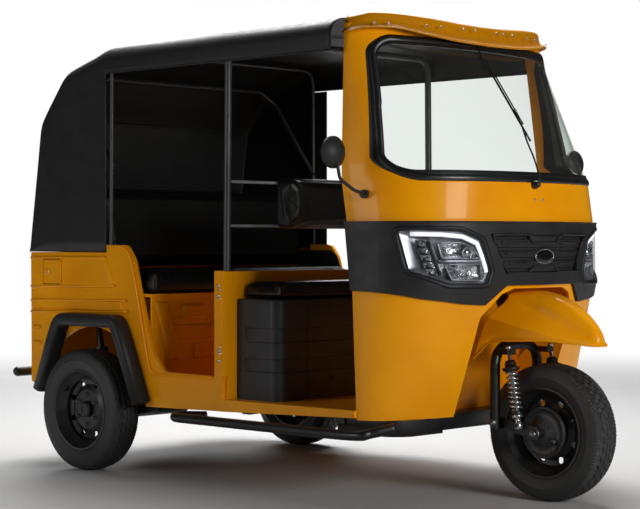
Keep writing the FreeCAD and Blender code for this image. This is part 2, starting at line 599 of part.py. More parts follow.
def make_hood_frame():
    """Bent steel tubes under the hood: two hoops, and the rear bow with its slanting stays."""
    hoops = []
    for x, foot, top, half, radius in HOOPS:
        path = [(x, -HOOP_FOOT_HALF, foot), (x, -half, top), (x, half, top), (x, HOOP_FOOT_HALF, foot)]
        hoops.append(tube(path, radius, 62.0))
    add("hood_hoops", Part.makeCompound(hoops), ("backrest_rails", "hood_roof"))
    side = [(119.0, -598.0, 1262.0), (-120.0, -584.0, 1600.0), (-160.0, -520.0, 1660.0)]
    bow = tube(side + [(x, -y, z) for x, y, z in reversed(side)], BOW_RADIUS, 40.0)
    add("rear_bow", bow, ("hood_hoops",))


# ---------------------------------------------------------------- chassis, engine and rear suspension
def make_chassis():
    """Two box rails with cross members, reaching from the bumper brackets to the front wheel house."""
    rails = [block((-330.0, 1486.0), (y - 25.0, y + 25.0), RAIL_Z) for y in (-250.0, 250.0)]
    crosses = [block((x - 20.0, x + 20.0), (-590.0, 590.0), (290.0, FLOOR_TOP - 14.0 - GAP))
               for x in (470.0, 900.0, 1400.0)]
    tail = block((-330.0, -290.0), (-560.0, 560.0), RAIL_Z)
    for x in (-240.0, 210.0):
        crosses.append(block((x, x + 40.0), (-275.0, 275.0), (RAIL_Z[1], 345.0)))
    add("chassis", join(rails + crosses + [tail]), ("rear_bumper",))


def make_step_bars():
    """Round side bars under the door openings, on brackets from the cross members."""
    path = [(548.0, -640.0, 262.0), (600.0, -662.0, 243.0), (1540.0, -662.0, 262.0), (1640.0, -560.0, 292.0)]
    bar = tube(path, 19.0, 45.0)
    arms = [rod((x, -588.0, 290.0), (x, -655.0, 252.0), 9.0) for x in (900.0, 1400.0)]
    right = join([bar, ball(path[0], 19.0), ball(path[-1], 19.0)] + arms)
    right = right.cut(PIECES["chassis"]).cut(PIECES["front_apron"])
    add("step_bars", Part.makeCompound([right, mirrored(right)]))


def make_drivetrain():
    """Engine with gearbox as one plain block, trailing arms with their pivots, dampers and the silencer."""
    engine = block((-198.0, 208.0), (-205.0, 205.0), (236.0, 600.0))
    add("engine", engine.makeChamfer(30.0, engine.Edges), ("chassis",))
    hub_y = REAR_TRACK / 2 - 58.0
    arms, dampers = [], []
    for side in (-1, 1):
        low, high = sorted((side * (hub_y - 62.0), side * (hub_y - 22.0)))
        arm = side_plate([(-105.0, 226.0), (-105.0, 290.0), (60.0, 300.0), (330.0, 316.0), (350.0, 262.0),
                          (60.0, 216.0)], low, high, [26, 26, 60, 20, 20, 60])
        pivot = rod((332.0, side * 275.0, 290.0), (332.0, side * (hub_y - 20.0), 290.0), 11.0)
        arms.append(join([arm, pivot]).cut(PIECES["chassis"]))
        y_mid = side * (hub_y - 98.0)
        dampers.append(join([rod((-72.0, y_mid, 262.0), (-120.0, y_mid, 500.0), 30.0),
                             rod((-120.0, y_mid, 500.0), (-146.0, y_mid, 640.0), 14.0),
                             rod((-72.0, y_mid, 262.0), (-72.0, side * (hub_y - 62.0), 262.0), 11.0)]).cut(arm))
    add("trailing_arms", Part.makeCompound(arms))
    add("rear_dampers", Part.makeCompound(dampers))
    silencer = rod((-300.0, -150.0, 205.0), (-300.0, 160.0, 205.0), 42.0)
    pipe = tube([(-300.0, 158.0, 205.0), (-300.0, 330.0, 205.0), (-455.0, 330.0, 205.0)], 15.0, 50.0)
    add("silencer", join([silencer, pipe]))


# ---------------------------------------------------------------- wheels
TYRE_HALF = TYRE_WIDTH / 2
TYRE_PROFILE = (                   # radius, distance from the wheel's middle plane
    (RIM_SEAT_RADIUS + 0.3, -50.0), (170.0, -57.0), (190.0, -67.0), (210.0, -TYRE_HALF), (228.0, -67.0),
    (244.0, -57.0), (251.5, -42.0), (TYRE_RADIUS, -18.0), (TYRE_RADIUS, 18.0), (251.5, 42.0), (244.0, 57.0),
    (228.0, 67.0), (210.0, TYRE_HALF), (190.0, 67.0), (170.0, 57.0), (RIM_SEAT_RADIUS + 0.3, 50.0),
)


def rim_profile(outward):
    """Pressed steel rim and disc as (radius, across); outward is +1 or -1 along Y."""
    half = RIM_WIDTH / 2
    rows = [(RIM_SEAT_RADIUS, -46.0), (RIM_FLANGE_RADIUS - 3.0, -half), (RIM_FLANGE_RADIUS, -half - 5.0),
            (160.0, -half - 5.0), (147.0, -44.0), (126.0, -20.0), (126.0, 2.0), (105.0, -4.0), (80.0, 8.0),
            (34.0, 8.0), (34.0, 16.0), (82.0, 16.0), (105.0, 4.0), (124.0, 8.0), (126.0, 24.0),
            (147.0, 44.0), (160.0, half + 5.0), (RIM_FLANGE_RADIUS, half + 5.0),
            (RIM_FLANGE_RADIUS - 3.0, half), (RIM_SEAT_RADIUS, 46.0), (136.0, 26.0), (136.0, -20.0)]
    return [(radius, across * outward) for radius, across in rows]


# Round holes through the wheel disc, just inside the rim
HOLE_COUNT, HOLE_CIRCLE, HOLE_RADIUS = 8, 111.0, 13.0


def make_wheel(name, centre, outward, axle_radius):
    """Tyre, slotted steel rim and hub drum with a running bore for its axle."""
    x, y, z = centre
    tyre = turned(TYRE_PROFILE, centre)
    rim = turned(rim_profile(outward), centre)
    for i in range(HOLE_COUNT):
        angle = 2 * math.pi * (i + 0.5) / HOLE_COUNT
        hole_x, hole_z = x + HOLE_CIRCLE * math.cos(angle), z + HOLE_CIRCLE * math.sin(angle)
        rim = rim.cut(rod((hole_x, y - 60.0, hole_z), (hole_x, y + 60.0, hole_z), HOLE_RADIUS))
    bore_radius = axle_radius + 0.05
    drum_rows = [(bore_radius, -34.0), (92.0, -34.0), (96.0, -30.0), (96.0, -10.0), (78.0, 8.0),
                 (34.0, 8.0), (34.0, 30.0), (26.0, 36.0), (bore_radius, 36.0)]
    drum = turned([(radius, across * outward) for radius, across in drum_rows], centre)
    add(name + "_tyre", tyre.cut(rim))
    add(name + "_wheel", join([rim, drum]))


REAR_AXLE_RADIUS = 15.0
FRONT_AXLE_RADIUS = 10.0


def make_wheels():
    make_wheel("front", (WHEEL_BASE, 0.0, TYRE_RADIUS), -1, FRONT_AXLE_RADIUS)
    for name, side in (("rear_right", -1), ("rear_left", 1)):
        make_wheel(name, (0.0, side * REAR_TRACK / 2, TYRE_RADIUS), side, REAR_AXLE_RADIUS)
    axles = []
    for side in (-1, 1):
        inner, outer = side * (REAR_TRACK / 2 - 79.0), side * (REAR_TRACK / 2 + 34.0)
        plate = side * (REAR_TRACK / 2 - 42.0)
        axles.append(join([rod((0, inner, TYRE_RADIUS), (0, outer, TYRE_RADIUS), REAR_AXLE_RADIUS),
                           rod((0, inner, TYRE_RADIUS), (0, plate, TYRE_RADIUS), 90.0)]))
        axles.append(rod((0, side * 206.0, TYRE_RADIUS), (0, side * (inner * side - 41.0), TYRE_RADIUS), 14.0))
    add("rear_axles", Part.makeCompound(axles), ("trailing_arms", "engine"))


# ---------------------------------------------------------------- steering and front suspension
def make_fork():
    """Inverted-U fork with its stem, leading links, pivot bolts and axle."""
    legs = tube([(FORK_X, -FORK_HALF, LINK_PIVOT_Z - 22.0), (FORK_X, -FORK_HALF, FORK_TOP_Z),
                 (FORK_X, FORK_HALF, FORK_TOP_Z), (FORK_X, FORK_HALF, LINK_PIVOT_Z - 22.0)],
                FORK_TUBE_RADIUS, FORK_BEND)
    lugs = [block((FORK_X + 4.0, FORK_X + 72.0), sorted((side * (FORK_HALF - 32.0), side * (FORK_HALF + 6.0))),
                  (540.0, 560.0)) for side in (-1, 1)]
    stem = rod(slanted(0.0), slanted(560.0), 16.0)
    collar = rod(slanted(0.0), slanted(222.0), 25.0)
    fork = join([legs, stem, collar] + lugs)
    links = []
    for side in (-1, 1):
        low, high = sorted((side * 94.0, side * 108.0))
        outline = [(FORK_X - 20.0, LINK_PIVOT_Z - 20.0), (FORK_X - 20.0, LINK_PIVOT_Z + 20.0),
                   (WHEEL_BASE + 22.0, TYRE_RADIUS + 22.0), (WHEEL_BASE + 22.0, TYRE_RADIUS - 22.0)]
        links.append(join([
            side_plate(outline, low, high, [18, 18, 20, 20]),
            rod((FORK_X, side * 94.0, LINK_PIVOT_Z), (FORK_X, side * 154.0, LINK_PIVOT_Z), 8.0),
            rod((DAMPER_LOW_X, side * 94.0, 284.0), (DAMPER_LOW_X, side * 150.0, 284.0), 8.0)]))
    links = Part.makeCompound(links)
    axle = rod((WHEEL_BASE, -116.0, TYRE_RADIUS), (WHEEL_BASE, 116.0, TYRE_RADIUS), FRONT_AXLE_RADIUS)
    nuts = [rod((WHEEL_BASE, side * 108.0, TYRE_RADIUS), (WHEEL_BASE, side * 122.0, TYRE_RADIUS), 17.0)
            for side in (-1, 1)]
    spacers = [rod((WHEEL_BASE, side * 42.0, TYRE_RADIUS), (WHEEL_BASE, side * 94.0, TYRE_RADIUS), 18.0)
               for side in (-1, 1)]
    add("front_axle", join([axle] + nuts + spacers))
    add("front_links", links, ("front_axle",))
    add("front_fork", fork, ("front_links",))


def make_front_dampers():
    """Coil-over damper units between the fork lugs and the links."""
    units = []
    for y in (-FORK_HALF, FORK_HALF):
        low, high = Vector(DAMPER_LOW_X, y, 284.0), Vector(FORK_X + 60.0, y, 572.0)
        along = high - low
        units.append(join([rod(tuple(low), tuple(low + along * 0.72), 21.0),
                           rod(tuple(low + along * 0.70), tuple(low + along * 0.80), 25.0),
                           rod(tuple(low + along * 0.78), tuple(high), 7.0)]))
    add("front_dampers", Part.makeCompound(units), ("front_fork", "front_links"))


# Right half of the mudguard across station x, from the skirt to the crest, as (half width, height):
# skirt foot, lower crease, valley, upper crease, dome shoulder and crest edge
GUARD_STATIONS = (
    (1650.0, ((132.0, 480.0), (146.0, 700.0), (130.0, 733.0), (114.0, 758.0), (88.0, 768.0), (45.0, 772.0))),
    (1790.0, ((130.0, 480.0), (134.0, 660.0), (118.0, 705.0), (108.0, 742.0), (84.0, 760.0), (45.0, 770.0))),
    (1880.0, ((124.0, 480.0), (122.0, 638.0), (110.0, 668.0), (98.0, 703.0), (76.0, 748.0), (40.0, 769.0))),
    (1970.0, ((112.0, 480.0), (106.0, 617.0), (96.0, 635.0), (84.0, 662.0), (66.0, 715.0), (34.0, 746.0))),
    (2040.0, ((94.0, 480.0), (84.0, 600.0), (77.0, 610.0), (68.0, 628.0), (54.0, 675.0), (28.0, 710.0))),
    (2095.0, ((66.0, 480.0), (60.0, 590.0), (55.0, 596.0), (49.0, 606.0), (39.0, 636.0), (20.0, 664.0))),
    (2143.0, ((24.0, 480.0), (21.0, 584.0), (19.0, 586.0), (17.0, 590.0), (13.0, 597.0), (7.0, 604.0))))
GUARD_WALL = 4.0
# Lower and rear edges of the mudguard seen from the side, closed below and behind it: (x, z)
GUARD_TRIM = ((1655.0, 512.0), (1724.0, 577.0), (1778.0, 590.0), (1978.0, 597.0), (2146.0, 581.0),
              (2200.0, 400.0), (1500.0, 400.0), (1500.0, 900.0), (1745.0, 900.0), (1784.0, 744.0),
              (1718.0, 676.0))


def make_mudguard():
    """Front mudguard: a domed shell with two creases down each cheek and a pointed beak."""
    shells = []
    for inset in (0.0, GUARD_WALL):
        wires = []
        for x, rows in GUARD_STATIONS:
            half = [Vector(x, -max(width - inset, 2.0), height - (inset if height > 500.0 else 0.0))
                    for width, height in rows]
            points = half + [Vector(x, -at.y, at.z) for at in reversed(half)]
            wires.append(Part.makePolygon(points + points[:1]))
        shells.append(Part.makeLoft(wires, True, True))
    guard = shells[0].cut(shells[1]).cut(side_plate(GUARD_TRIM, -300.0, 300.0))
    guard = max(guard.Solids, key=lambda solid: solid.Volume)
    stays = [block((FORK_X - 8.0, FORK_X + 8.0), sorted((side * 100.0, side * 132.5)), (575.0, 640.0))
             for side in (-1, 1)]
    add("front_mudguard", join([guard] + stays), ("front_fork",))


def make_handlebar():
    """Scooter-style bar with rubber grips and an instrument pod."""
    centre = Vector(*slanted(535.0))
    grip_in, grip_out = 190.0, 310.0
    bar = tube([(centre.x - 40.0, -grip_out, centre.z + 10.0), (centre.x - 22.0, -150.0, centre.z + 6.0),
                (centre.x, 0.0, centre.z), (centre.x - 22.0, 150.0, centre.z + 6.0),
                (centre.x - 40.0, grip_out, centre.z + 10.0)], 10.0, 60.0)
    clamp = rod(slanted(490.0), slanted(558.0), 24.0)
    add("handlebar", join([bar, clamp]), ("front_fork",))
    grips = []
    for side in (-1, 1):
        start = Vector(centre.x - 22.0 - 18.0 * (grip_in - 150.0) / 160.0, side * grip_in,
                       centre.z + 6.0 + 4.0 * (grip_in - 150.0) / 160.0)
        end = Vector(centre.x - 40.0 - 0.6, side * (grip_out + 6.0), centre.z + 10.1)
        grips.append(rod(tuple(start), tuple(end), 16.0))
    add("grips", Part.makeCompound(grips), ("handlebar",))
    pod = side_plate([(centre.x - 58.0, centre.z + 26.0), (centre.x + 42.0, centre.z + 44.0),
                      (centre.x + 30.0, centre.z + 88.0), (centre.x - 70.0, centre.z + 46.0)], -85.0, 85.0,
                     [6, 12, 14, 6])
    add("instrument_pod", pod, ("handlebar", "front_fork"))


# ---------------------------------------------------------------- build and write
def build():
    make_cab_front()
    make_wheel_house()
    make_dashboard()
    make_roof_visor()
    make_wiper()
    make_mirrors()
    make_quarter_panels()
    make_fuel_flap()
    make_fender_flares()
    make_tail()
    make_bumper()
    make_floor()
    make_bulkheads()
    make_b_posts()
    make_seats()
    make_grab_rails()
    make_hood()
    make_hood_frame()
    make_chassis()
    make_step_bars()
    make_drivetrain()
    make_wheels()
    make_fork()
    make_front_dampers()
    make_mudguard()
    make_handlebar()


build()
for piece_name, piece in PIECES.items():
    moved = piece.translated(Vector(-CENTRE_X, 0, 0))
    moved.exportStep("parts/" + piece_name + ".step")
    box = moved.BoundBox
    print("%-22s solids %d  valid %s  x %7.1f %7.1f  y %7.1f %7.1f  z %7.1f %7.1f" % (
        piece_name, len(moved.Solids), moved.isValid(), box.XMin, box.XMax, box.YMin, box.YMax,
        box.ZMin, box.ZMax))
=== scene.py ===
"""Looks of a three-wheeled auto rickshaw: yellow pressed-steel cab and rear body, charcoal mouldings,
a black coated-cloth hood, vinyl seats and three 12 inch wheels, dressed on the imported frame."""

import math

import bmesh
import bpy
import numpy as np
from mathutils import Matrix, Vector
from mathutils.bvhtree import BVHTree


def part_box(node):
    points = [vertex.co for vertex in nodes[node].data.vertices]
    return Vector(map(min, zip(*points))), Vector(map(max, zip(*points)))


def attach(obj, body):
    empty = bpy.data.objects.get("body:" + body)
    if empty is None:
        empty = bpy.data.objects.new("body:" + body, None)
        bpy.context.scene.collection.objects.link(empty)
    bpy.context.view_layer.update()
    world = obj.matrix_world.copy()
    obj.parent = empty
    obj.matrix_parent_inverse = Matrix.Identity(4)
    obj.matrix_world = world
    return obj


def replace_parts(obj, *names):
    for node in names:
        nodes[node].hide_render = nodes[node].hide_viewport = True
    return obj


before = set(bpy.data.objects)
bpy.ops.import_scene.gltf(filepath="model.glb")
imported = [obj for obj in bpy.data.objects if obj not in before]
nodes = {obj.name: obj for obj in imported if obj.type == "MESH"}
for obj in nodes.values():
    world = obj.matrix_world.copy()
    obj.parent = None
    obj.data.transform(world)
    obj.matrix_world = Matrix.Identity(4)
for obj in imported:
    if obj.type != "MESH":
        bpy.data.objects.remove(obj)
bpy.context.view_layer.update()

# -------------------- studio floor
# A seamless pale studio sweep: matt painted board under the vehicle that runs out to a white surround.
# The board keeps the soft shadow, and beyond a few metres it is as white as the surround.
BOARD_HALF_M = 60.0
BOARD_DEEP, BOARD_PALE = "b0b0b0", "b4b4b4"
MOTTLES_PER_M = 3.0
FADE_NEAR_M, FADE_FAR_M = 3.8, 8.4


def linear(code):
    """An sRGB hex colour as the linear colour that a socket takes."""
    parts = [int(code[i:i + 2], 16) / 255 for i in (0, 2, 4)]
    return [p / 12.92 if p <= 0.04045 else ((p + 0.055) / 1.055) ** 2.4 for p in parts] + [1.0]


def add(tree, kind, links=None, **settings):
    """One node with its settings; links maps a socket to a value or to the output that feeds it."""
    made = tree.nodes.new(kind)
    for name, value in settings.items():
        setattr(made, name, value)
    for socket, value in (links or {}).items():
        if isinstance(value, bpy.types.NodeSocket):
            tree.links.new(value, made.inputs[socket])
        else:
            made.inputs[socket].default_value = value
    return made


def new_material(name):
    """An empty node material with its tree and its object coordinates."""
    material = bpy.data.materials.new(name)
    material.use_nodes = True
    material.node_tree.nodes.clear()
    coordinates = add(material.node_tree, "ShaderNodeTexCoord")
    return material, material.node_tree, coordinates.outputs["Object"]


def surfaced(material, shader):
    """The material with its shader joined to the output."""
    add(material.node_tree, "ShaderNodeOutputMaterial", {"Surface": shader.outputs[0]})
    return material


def studio_board():
    """Matt board near the vehicle, white surround beyond it."""
    material, tree, place = new_material("studio_board_matt_paint")
    distance = add(tree, "ShaderNodeVectorMath", {0: place}, operation="LENGTH")
    fade = add(tree, "ShaderNodeMapRange", {"Value": distance.outputs["Value"], "From Min": FADE_NEAR_M,
                                            "From Max": FADE_FAR_M}, interpolation_type="SMOOTHSTEP")
    rays = add(tree, "ShaderNodeLightPath")
    seen = add(tree, "ShaderNodeMath", {0: rays.outputs["Is Camera Ray"],
                                        1: rays.outputs["Is Transmission Ray"]}, operation="MAXIMUM")
    share = add(tree, "ShaderNodeMath", {0: fade.outputs["Result"], 1: seen.outputs[0]}, operation="MULTIPLY")
    mottle = add(tree, "ShaderNodeTexNoise", {"Vector": place, "Scale": MOTTLES_PER_M, "Detail": 2.0})
    tint = add(tree, "ShaderNodeValToRGB", {"Fac": mottle.outputs["Fac"]})
    tint.color_ramp.elements[0].color = linear(BOARD_DEEP)
    tint.color_ramp.elements[1].color = linear(BOARD_PALE)
    matt = add(tree, "ShaderNodeBsdfPrincipled", {"Base Color": tint.outputs["Color"], "Roughness": 0.8})
    white = add(tree, "ShaderNodeEmission", {"Color": linear("ffffff"), "Strength": 1.0})
    mix = add(tree, "ShaderNodeMixShader", {0: share.outputs[0], 1: matt.outputs[0], 2: white.outputs[0]})
    return surfaced(material, mix)


def placed(name, data):
    """A new object in the scene."""
    made = bpy.data.objects.new(name, data)
    bpy.context.scene.collection.objects.link(made)
    return made


def mesh_object(name, points, faces, material=None):
    """A mesh from points in metres in the vehicle's frame."""
    mesh = bpy.data.meshes.new(name)
    mesh.from_pydata([tuple(p) for p in points], [], faces)
    mesh.validate()
    if material:
        mesh.materials.append(material)
    return placed(name, mesh)


board = mesh_object("studio_board", [(-BOARD_HALF_M, -BOARD_HALF_M, 0), (BOARD_HALF_M, -BOARD_HALF_M, 0),
                                     (BOARD_HALF_M, BOARD_HALF_M, 0), (-BOARD_HALF_M, BOARD_HALF_M, 0)],
                    [(0, 1, 2, 3)], studio_board())

# -------------------- light and camera
# White surround, a key soft box ahead of the cab, a weak fill beside the passenger door, an overhead box that
# lights the board and a rim box behind the far shoulder of the hood.
SURROUND_LEVEL, MIRRORED_LEVEL = 0.05, 0.04
LAMPS = (  # name, place, point it faces, width, height, watts
    ("front_soft_box", (6.4, -0.9, 2.1), (0.8, 0.0, 0.8), 2.6, 1.6, 215.0),
    ("side_soft_box", (-2.0, -6.6, 1.8), (-0.4, 0.0, 0.7), 2.6, 1.8, 75.0),
    ("top_soft_box", (-1.6, 1.4, 5.2), (-0.3, -0.2, 0.0), 4.0, 3.0, 520.0),
    ("rim_soft_box", (-6.0, 4.6, 3.4), (-0.8, 0.0, 1.4), 4.0, 2.2, 220.0),
)
CAMERA_PLACE = (4.9285, -5.258, 0.963)
CAMERA_AZIMUTH, CAMERA_DROP = math.radians(43.78), math.radians(0.48)
CAMERA_LENS_MM, SENSOR_MM = 98.38, 36.0


def light_the_studio():
    """A surround that is white to the camera but dim to the finishes, and the four soft boxes."""
    world = bpy.data.worlds.new("white_surround")
    world.use_nodes = True
    bpy.context.scene.world = world
    tree = world.node_tree
    tree.nodes.clear()
    rays = add(tree, "ShaderNodeLightPath")
    seen = add(tree, "ShaderNodeMath", {0: rays.outputs["Is Camera Ray"],
                                        1: rays.outputs["Is Transmission Ray"]}, operation="MAXIMUM")
    unseen = add(tree, "ShaderNodeMapRange", {"Value": rays.outputs["Is Glossy Ray"],
                                              "To Min": SURROUND_LEVEL, "To Max": MIRRORED_LEVEL})
    level = add(tree, "ShaderNodeMapRange", {"Value": seen.outputs[0], "To Min": unseen.outputs[0],
                                             "To Max": 1.0})
    white = add(tree, "ShaderNodeBackground", {"Color": linear("ffffff"), "Strength": level.outputs[0]})
    add(tree, "ShaderNodeOutputWorld", {"Surface": white.outputs[0]})
    for name, place, faces, wide, high, watts in LAMPS:
        lamp = bpy.data.lights.new(name, "AREA")
        lamp.shape = "RECTANGLE"
        lamp.size, lamp.size_y, lamp.energy = wide, high, watts
        stand = placed(name, lamp)
        stand.location = place
        stand.rotation_euler = (Vector(faces) - Vector(place)).to_track_quat("-Z", "Y").to_euler()


def place_camera():
    """The camera stands off the right front corner at hip height and looks almost level."""
    data = bpy.data.cameras.new("camera")
    data.lens, data.sensor_width = CAMERA_LENS_MM, SENSOR_MM
    camera = placed("camera", data)
    looks = Vector((-math.sin(CAMERA_AZIMUTH) * math.cos(CAMERA_DROP),
                    math.cos(CAMERA_AZIMUTH) * math.cos(CAMERA_DROP), -math.sin(CAMERA_DROP)))
    camera.location = CAMERA_PLACE
    camera.rotation_euler = looks.to_track_quat("-Z", "Y").to_euler()
    bpy.context.scene.camera = camera


light_the_studio()
place_camera()
bpy.context.scene.view_settings.view_transform = "Standard"

# -------------------- pressed bodywork
# The cab front, apron, visor, side panels, tail and partitions are deep-drawn 0.8 mm steel sheet,
# spot-welded at return flanges and sprayed in two-pack yellow over grey primer.
PAINT_DEEP, PAINT_FULL = "e89200", "f2a104"
PAINT_DUST = "8a6a2c"
ORANGE_PEEL_MM, SPRAY_PATCH_MM, GLOSS_PATCH_MM, DUST_PATCH_MM = 9.0, 260.0, 120.0, 45.0
DUST_TOP_M, DUST_LOW_M, DUST_MOST = 0.62, 0.27, 0.16     # heights where the dust fades out and is thickest
PRESSED_NODES = ("windscreen_frame", "front_apron", "roof_visor", "front_mudguard", "quarter_panel_right",
                 "quarter_panel_left", "fuel_flap", "tail_panel", "engine_lid", "floor_pan", "bulkhead",
                 "bench_base", "b_posts", "wheel_house")


def noise(tree, place, size_mm, detail=2.0, rough=0.5):
    """Soft mottling whose patches are about size_mm across."""
    return add(tree, "ShaderNodeTexNoise", {"Vector": place, "Scale": 1000.0 / size_mm, "Detail": detail,
                                            "Roughness": rough}).outputs["Fac"]


def tinted(tree, factor, dark, light, low=0.3, high=0.7):
    """Two close shades of one finish, spread over a pattern."""
    ramp = add(tree, "ShaderNodeValToRGB", {"Fac": factor})
    ramp.color_ramp.elements[0].position, ramp.color_ramp.elements[1].position = low, high
    ramp.color_ramp.elements[0].color, ramp.color_ramp.elements[1].color = linear(dark), linear(light)
    return ramp.outputs["Color"]


def spread(tree, factor, low, high):
    """A pattern turned into a value between two limits."""
    return add(tree, "ShaderNodeMapRange", {"Value": factor, "From Min": 0.25, "From Max": 0.75,
                                            "To Min": low, "To Max": high}).outputs["Result"]


def bumps(tree, height, strength, depth_m):
    """A pattern as fine relief under the light."""
    relief = {"Height": height, "Strength": strength, "Distance": depth_m}
    return add(tree, "ShaderNodeBump", relief).outputs["Normal"]


def two_pack_paint(name, deep, full):
    """Sprayed two-pack enamel: even yellow, faint orange peel under a clear gloss, dusty near the sills."""
    material, tree, place = new_material(name)
    shade = tinted(tree, noise(tree, place, SPRAY_PATCH_MM), deep, full)
    height = add(tree, "ShaderNodeSeparateXYZ", {0: place}).outputs["Z"]
    low = add(tree, "ShaderNodeMapRange", {"Value": height, "From Min": DUST_TOP_M, "From Max": DUST_LOW_M,
                                           "To Min": 0.0, "To Max": DUST_MOST}).outputs["Result"]
    patch = add(tree, "ShaderNodeMath", {0: low, 1: noise(tree, place, DUST_PATCH_MM, 5.0)},
                operation="MULTIPLY").outputs[0]
    colour = add(tree, "ShaderNodeMix", {0: patch, 6: shade, 7: linear(PAINT_DUST)},
                 data_type="RGBA").outputs[2]
    peel = bumps(tree, noise(tree, place, ORANGE_PEEL_MM), 0.035, 0.001)
    gloss = add(tree, "ShaderNodeBsdfPrincipled", {
        "Base Color": colour, "Roughness": spread(tree, noise(tree, place, GLOSS_PATCH_MM), 0.30, 0.40),
        "IOR": 1.5, "Specular IOR Level": 0.15, "Coat Weight": 0.12, "Coat Roughness": 0.08,
        "Normal": peel, "Coat Normal": peel})
    return surfaced(material, gloss)


def dress(node_names, material):
    """Gives CAD pieces of one finish its material."""
    for name in node_names:
        piece = nodes[name]
        piece.data.materials.clear()
        piece.data.materials.append(material)


paint = two_pack_paint("two_pack_yellow_enamel_on_steel", PAINT_DEEP, PAINT_FULL)
dress(PRESSED_NODES, paint)

# -------------------- charcoal mouldings
# Lamp panel, wheel flares, seat box, mirrors and pod are injection-moulded charcoal polypropylene with a
# fine spark-eroded grain, clipped and screwed to the steel.
MOULDING_DARK, MOULDING_LIGHT = "1e1e1e", "272727"
SPARK_GRAIN_MM = 2.2               # the real grain is 0.3 mm, drawn coarser so that it shows
MOULDED_NODES = ("front_panel", "fender_flares", "driver_seat_box", "mirrors", "instrument_pod", "wiper",
                 "dashboard")


def grained_moulding(name, dark, light, grain_mm, rough_low, rough_high, relief=0.25):
    """Injection-moulded plastic: satin charcoal with a fine eroded grain."""
    material, tree, place = new_material(name)
    grain = noise(tree, place, grain_mm, 3.0, 0.6)
    bump = bumps(tree, grain, relief, 0.0004)
    satin = add(tree, "ShaderNodeBsdfPrincipled", {
        "Base Color": tinted(tree, noise(tree, place, 90.0, 4.0), dark, light),
        "Roughness": spread(tree, noise(tree, place, 60.0, 3.0), rough_low, rough_high), "IOR": 1.49,
        "Specular IOR Level": 0.3, "Normal": bump})
    return surfaced(material, satin)


charcoal = grained_moulding("charcoal_polypropylene_moulding", MOULDING_DARK, MOULDING_LIGHT, SPARK_GRAIN_MM,
                            0.42, 0.55)
dress(MOULDED_NODES, charcoal)

# -------------------- black chassis steel
# Rails, fork, links, bumper bar and step bars are welded mild steel in black stove enamel, slightly
# uneven from the dip, with a low sheen.
STEEL_NODES = ("chassis", "front_axle", "front_fork", "front_links", "handlebar", "rear_axles", "rear_bumper",
               "rear_dampers", "silencer", "step_bars", "trailing_arms")


def stoved_coat(name, dark, light, patch_mm, rough_low, rough_high, metallic=0.0):
    """A stoved, powdered or cast skin: two close shades in soft runs under a broken sheen."""
    material, tree, place = new_material(name)
    runs = noise(tree, place, patch_mm, 4.0)
    bump = bumps(tree, noise(tree, place, 5.0, 2.0), 0.12, 0.0005)
    sheen = add(tree, "ShaderNodeBsdfPrincipled", {
        "Base Color": tinted(tree, runs, dark, light), "Roughness": spread(tree, runs, rough_low, rough_high),
        "Metallic": metallic, "Normal": bump})
    return surfaced(material, sheen)


stove_black = stoved_coat("black_stove_enamel_on_steel", "101010", "1a1a1a", 40.0, 0.28, 0.42)
dress(STEEL_NODES, stove_black)
rail_grey = stoved_coat("grey_powder_coat_on_tube", "2a2a2b", "3a3a3c", 70.0, 0.35, 0.5)
dress(("hood_hoops", "rear_bow"), rail_grey)
dress(("engine",), stoved_coat("cast_aluminium_sand_skin", "6f7072", "8c8d8f", 12.0, 0.45, 0.65, 0.6))

# -------------------- windscreen
# Laminated glass sits in a one-piece black EPDM gasket pressed on the flange of the opening. The gasket
# has a rounded, slightly shiny bead.
STATION_ZERO_MM = 841.5            # rear axle to the middle of the vehicle
SCREEN_LOW_MM, SCREEN_TOP_MM = (590.0, 1184.0), (526.0, 1709.0)     # half width and height of the opening
SCREEN_CORNER_MM = 75.0
GASKET_WIDTH_MM, GASKET_PROUD_MM = 31.0, 9.0
GASKET_SUNK_MM, GASKET_FOOT_MM = 5.0, 6.0
GASKET_NARROWER, GASKET_LIP_MM, SCREEN_MIDDLE_MM = 0.982, 6.0, 1450.0
CORNER_STEPS, STRAIGHT_STEP_MM = 10, 25.0
AHEAD_MM, NOSE_X_MM = 3000.0, 2000.0             # where rays from the front start, and the nose
LEAST_FACING = 0.3                 # surfaces that lean back further than this are skipped by those rays
EDGE_STEPS_MM = (0.0, 3.0, 6.0, 10.0, 16.0, 24.0, 36.0)


def at(x, y, z):
    """Millimetres from the rear axle to metres in the vehicle's frame."""
    return Vector(((x - STATION_ZERO_MM) / 1000, y / 1000, z / 1000))


def surface_of(*names):
    """The outer surface of some CAD pieces, ready to be found by rays."""
    points, faces = [], []
    for name in names:
        mesh = nodes[name].data
        first = len(points)
        points += [v.co.copy() for v in mesh.vertices]
        faces += [[first + i for i in p.vertices] for p in mesh.polygons]
    return BVHTree.FromPolygons(points, faces)


def front_point(surface, y, z, lift=0.0):
    """Where a ray from the front meets a surface, raised by lift mm; with the normal. Just past an edge,
    the nearest good hit further in is carried on along its own slope."""
    inward = -1.0 if y > 0 else 1.0
    for step in EDGE_STEPS_MM:
        for turn_y, turn_z in ((inward, 0), (0, 1), (0, -1), (inward, 1), (inward, -1)):
            try_y, try_z = y + step * turn_y, z + step * turn_z
            found, normal, _, _ = surface.ray_cast(at(AHEAD_MM, try_y, try_z), Vector((-1, 0, 0)))
            if found is None or abs(normal.x) < LEAST_FACING:
                continue
            normal = normal if normal.x > 0 else -normal
            past = normal.y * (y - try_y) + normal.z * (z - try_z)
            found = Vector((found.x - past / 1000 / normal.x, at(0.0, y, z).y, z / 1000))
            return found + normal * (lift / 1000), normal
    near, normal, _, _ = surface.find_nearest(at(NOSE_X_MM, y, z))
    return Vector((near.x, at(0.0, y, z).y, z / 1000)), normal


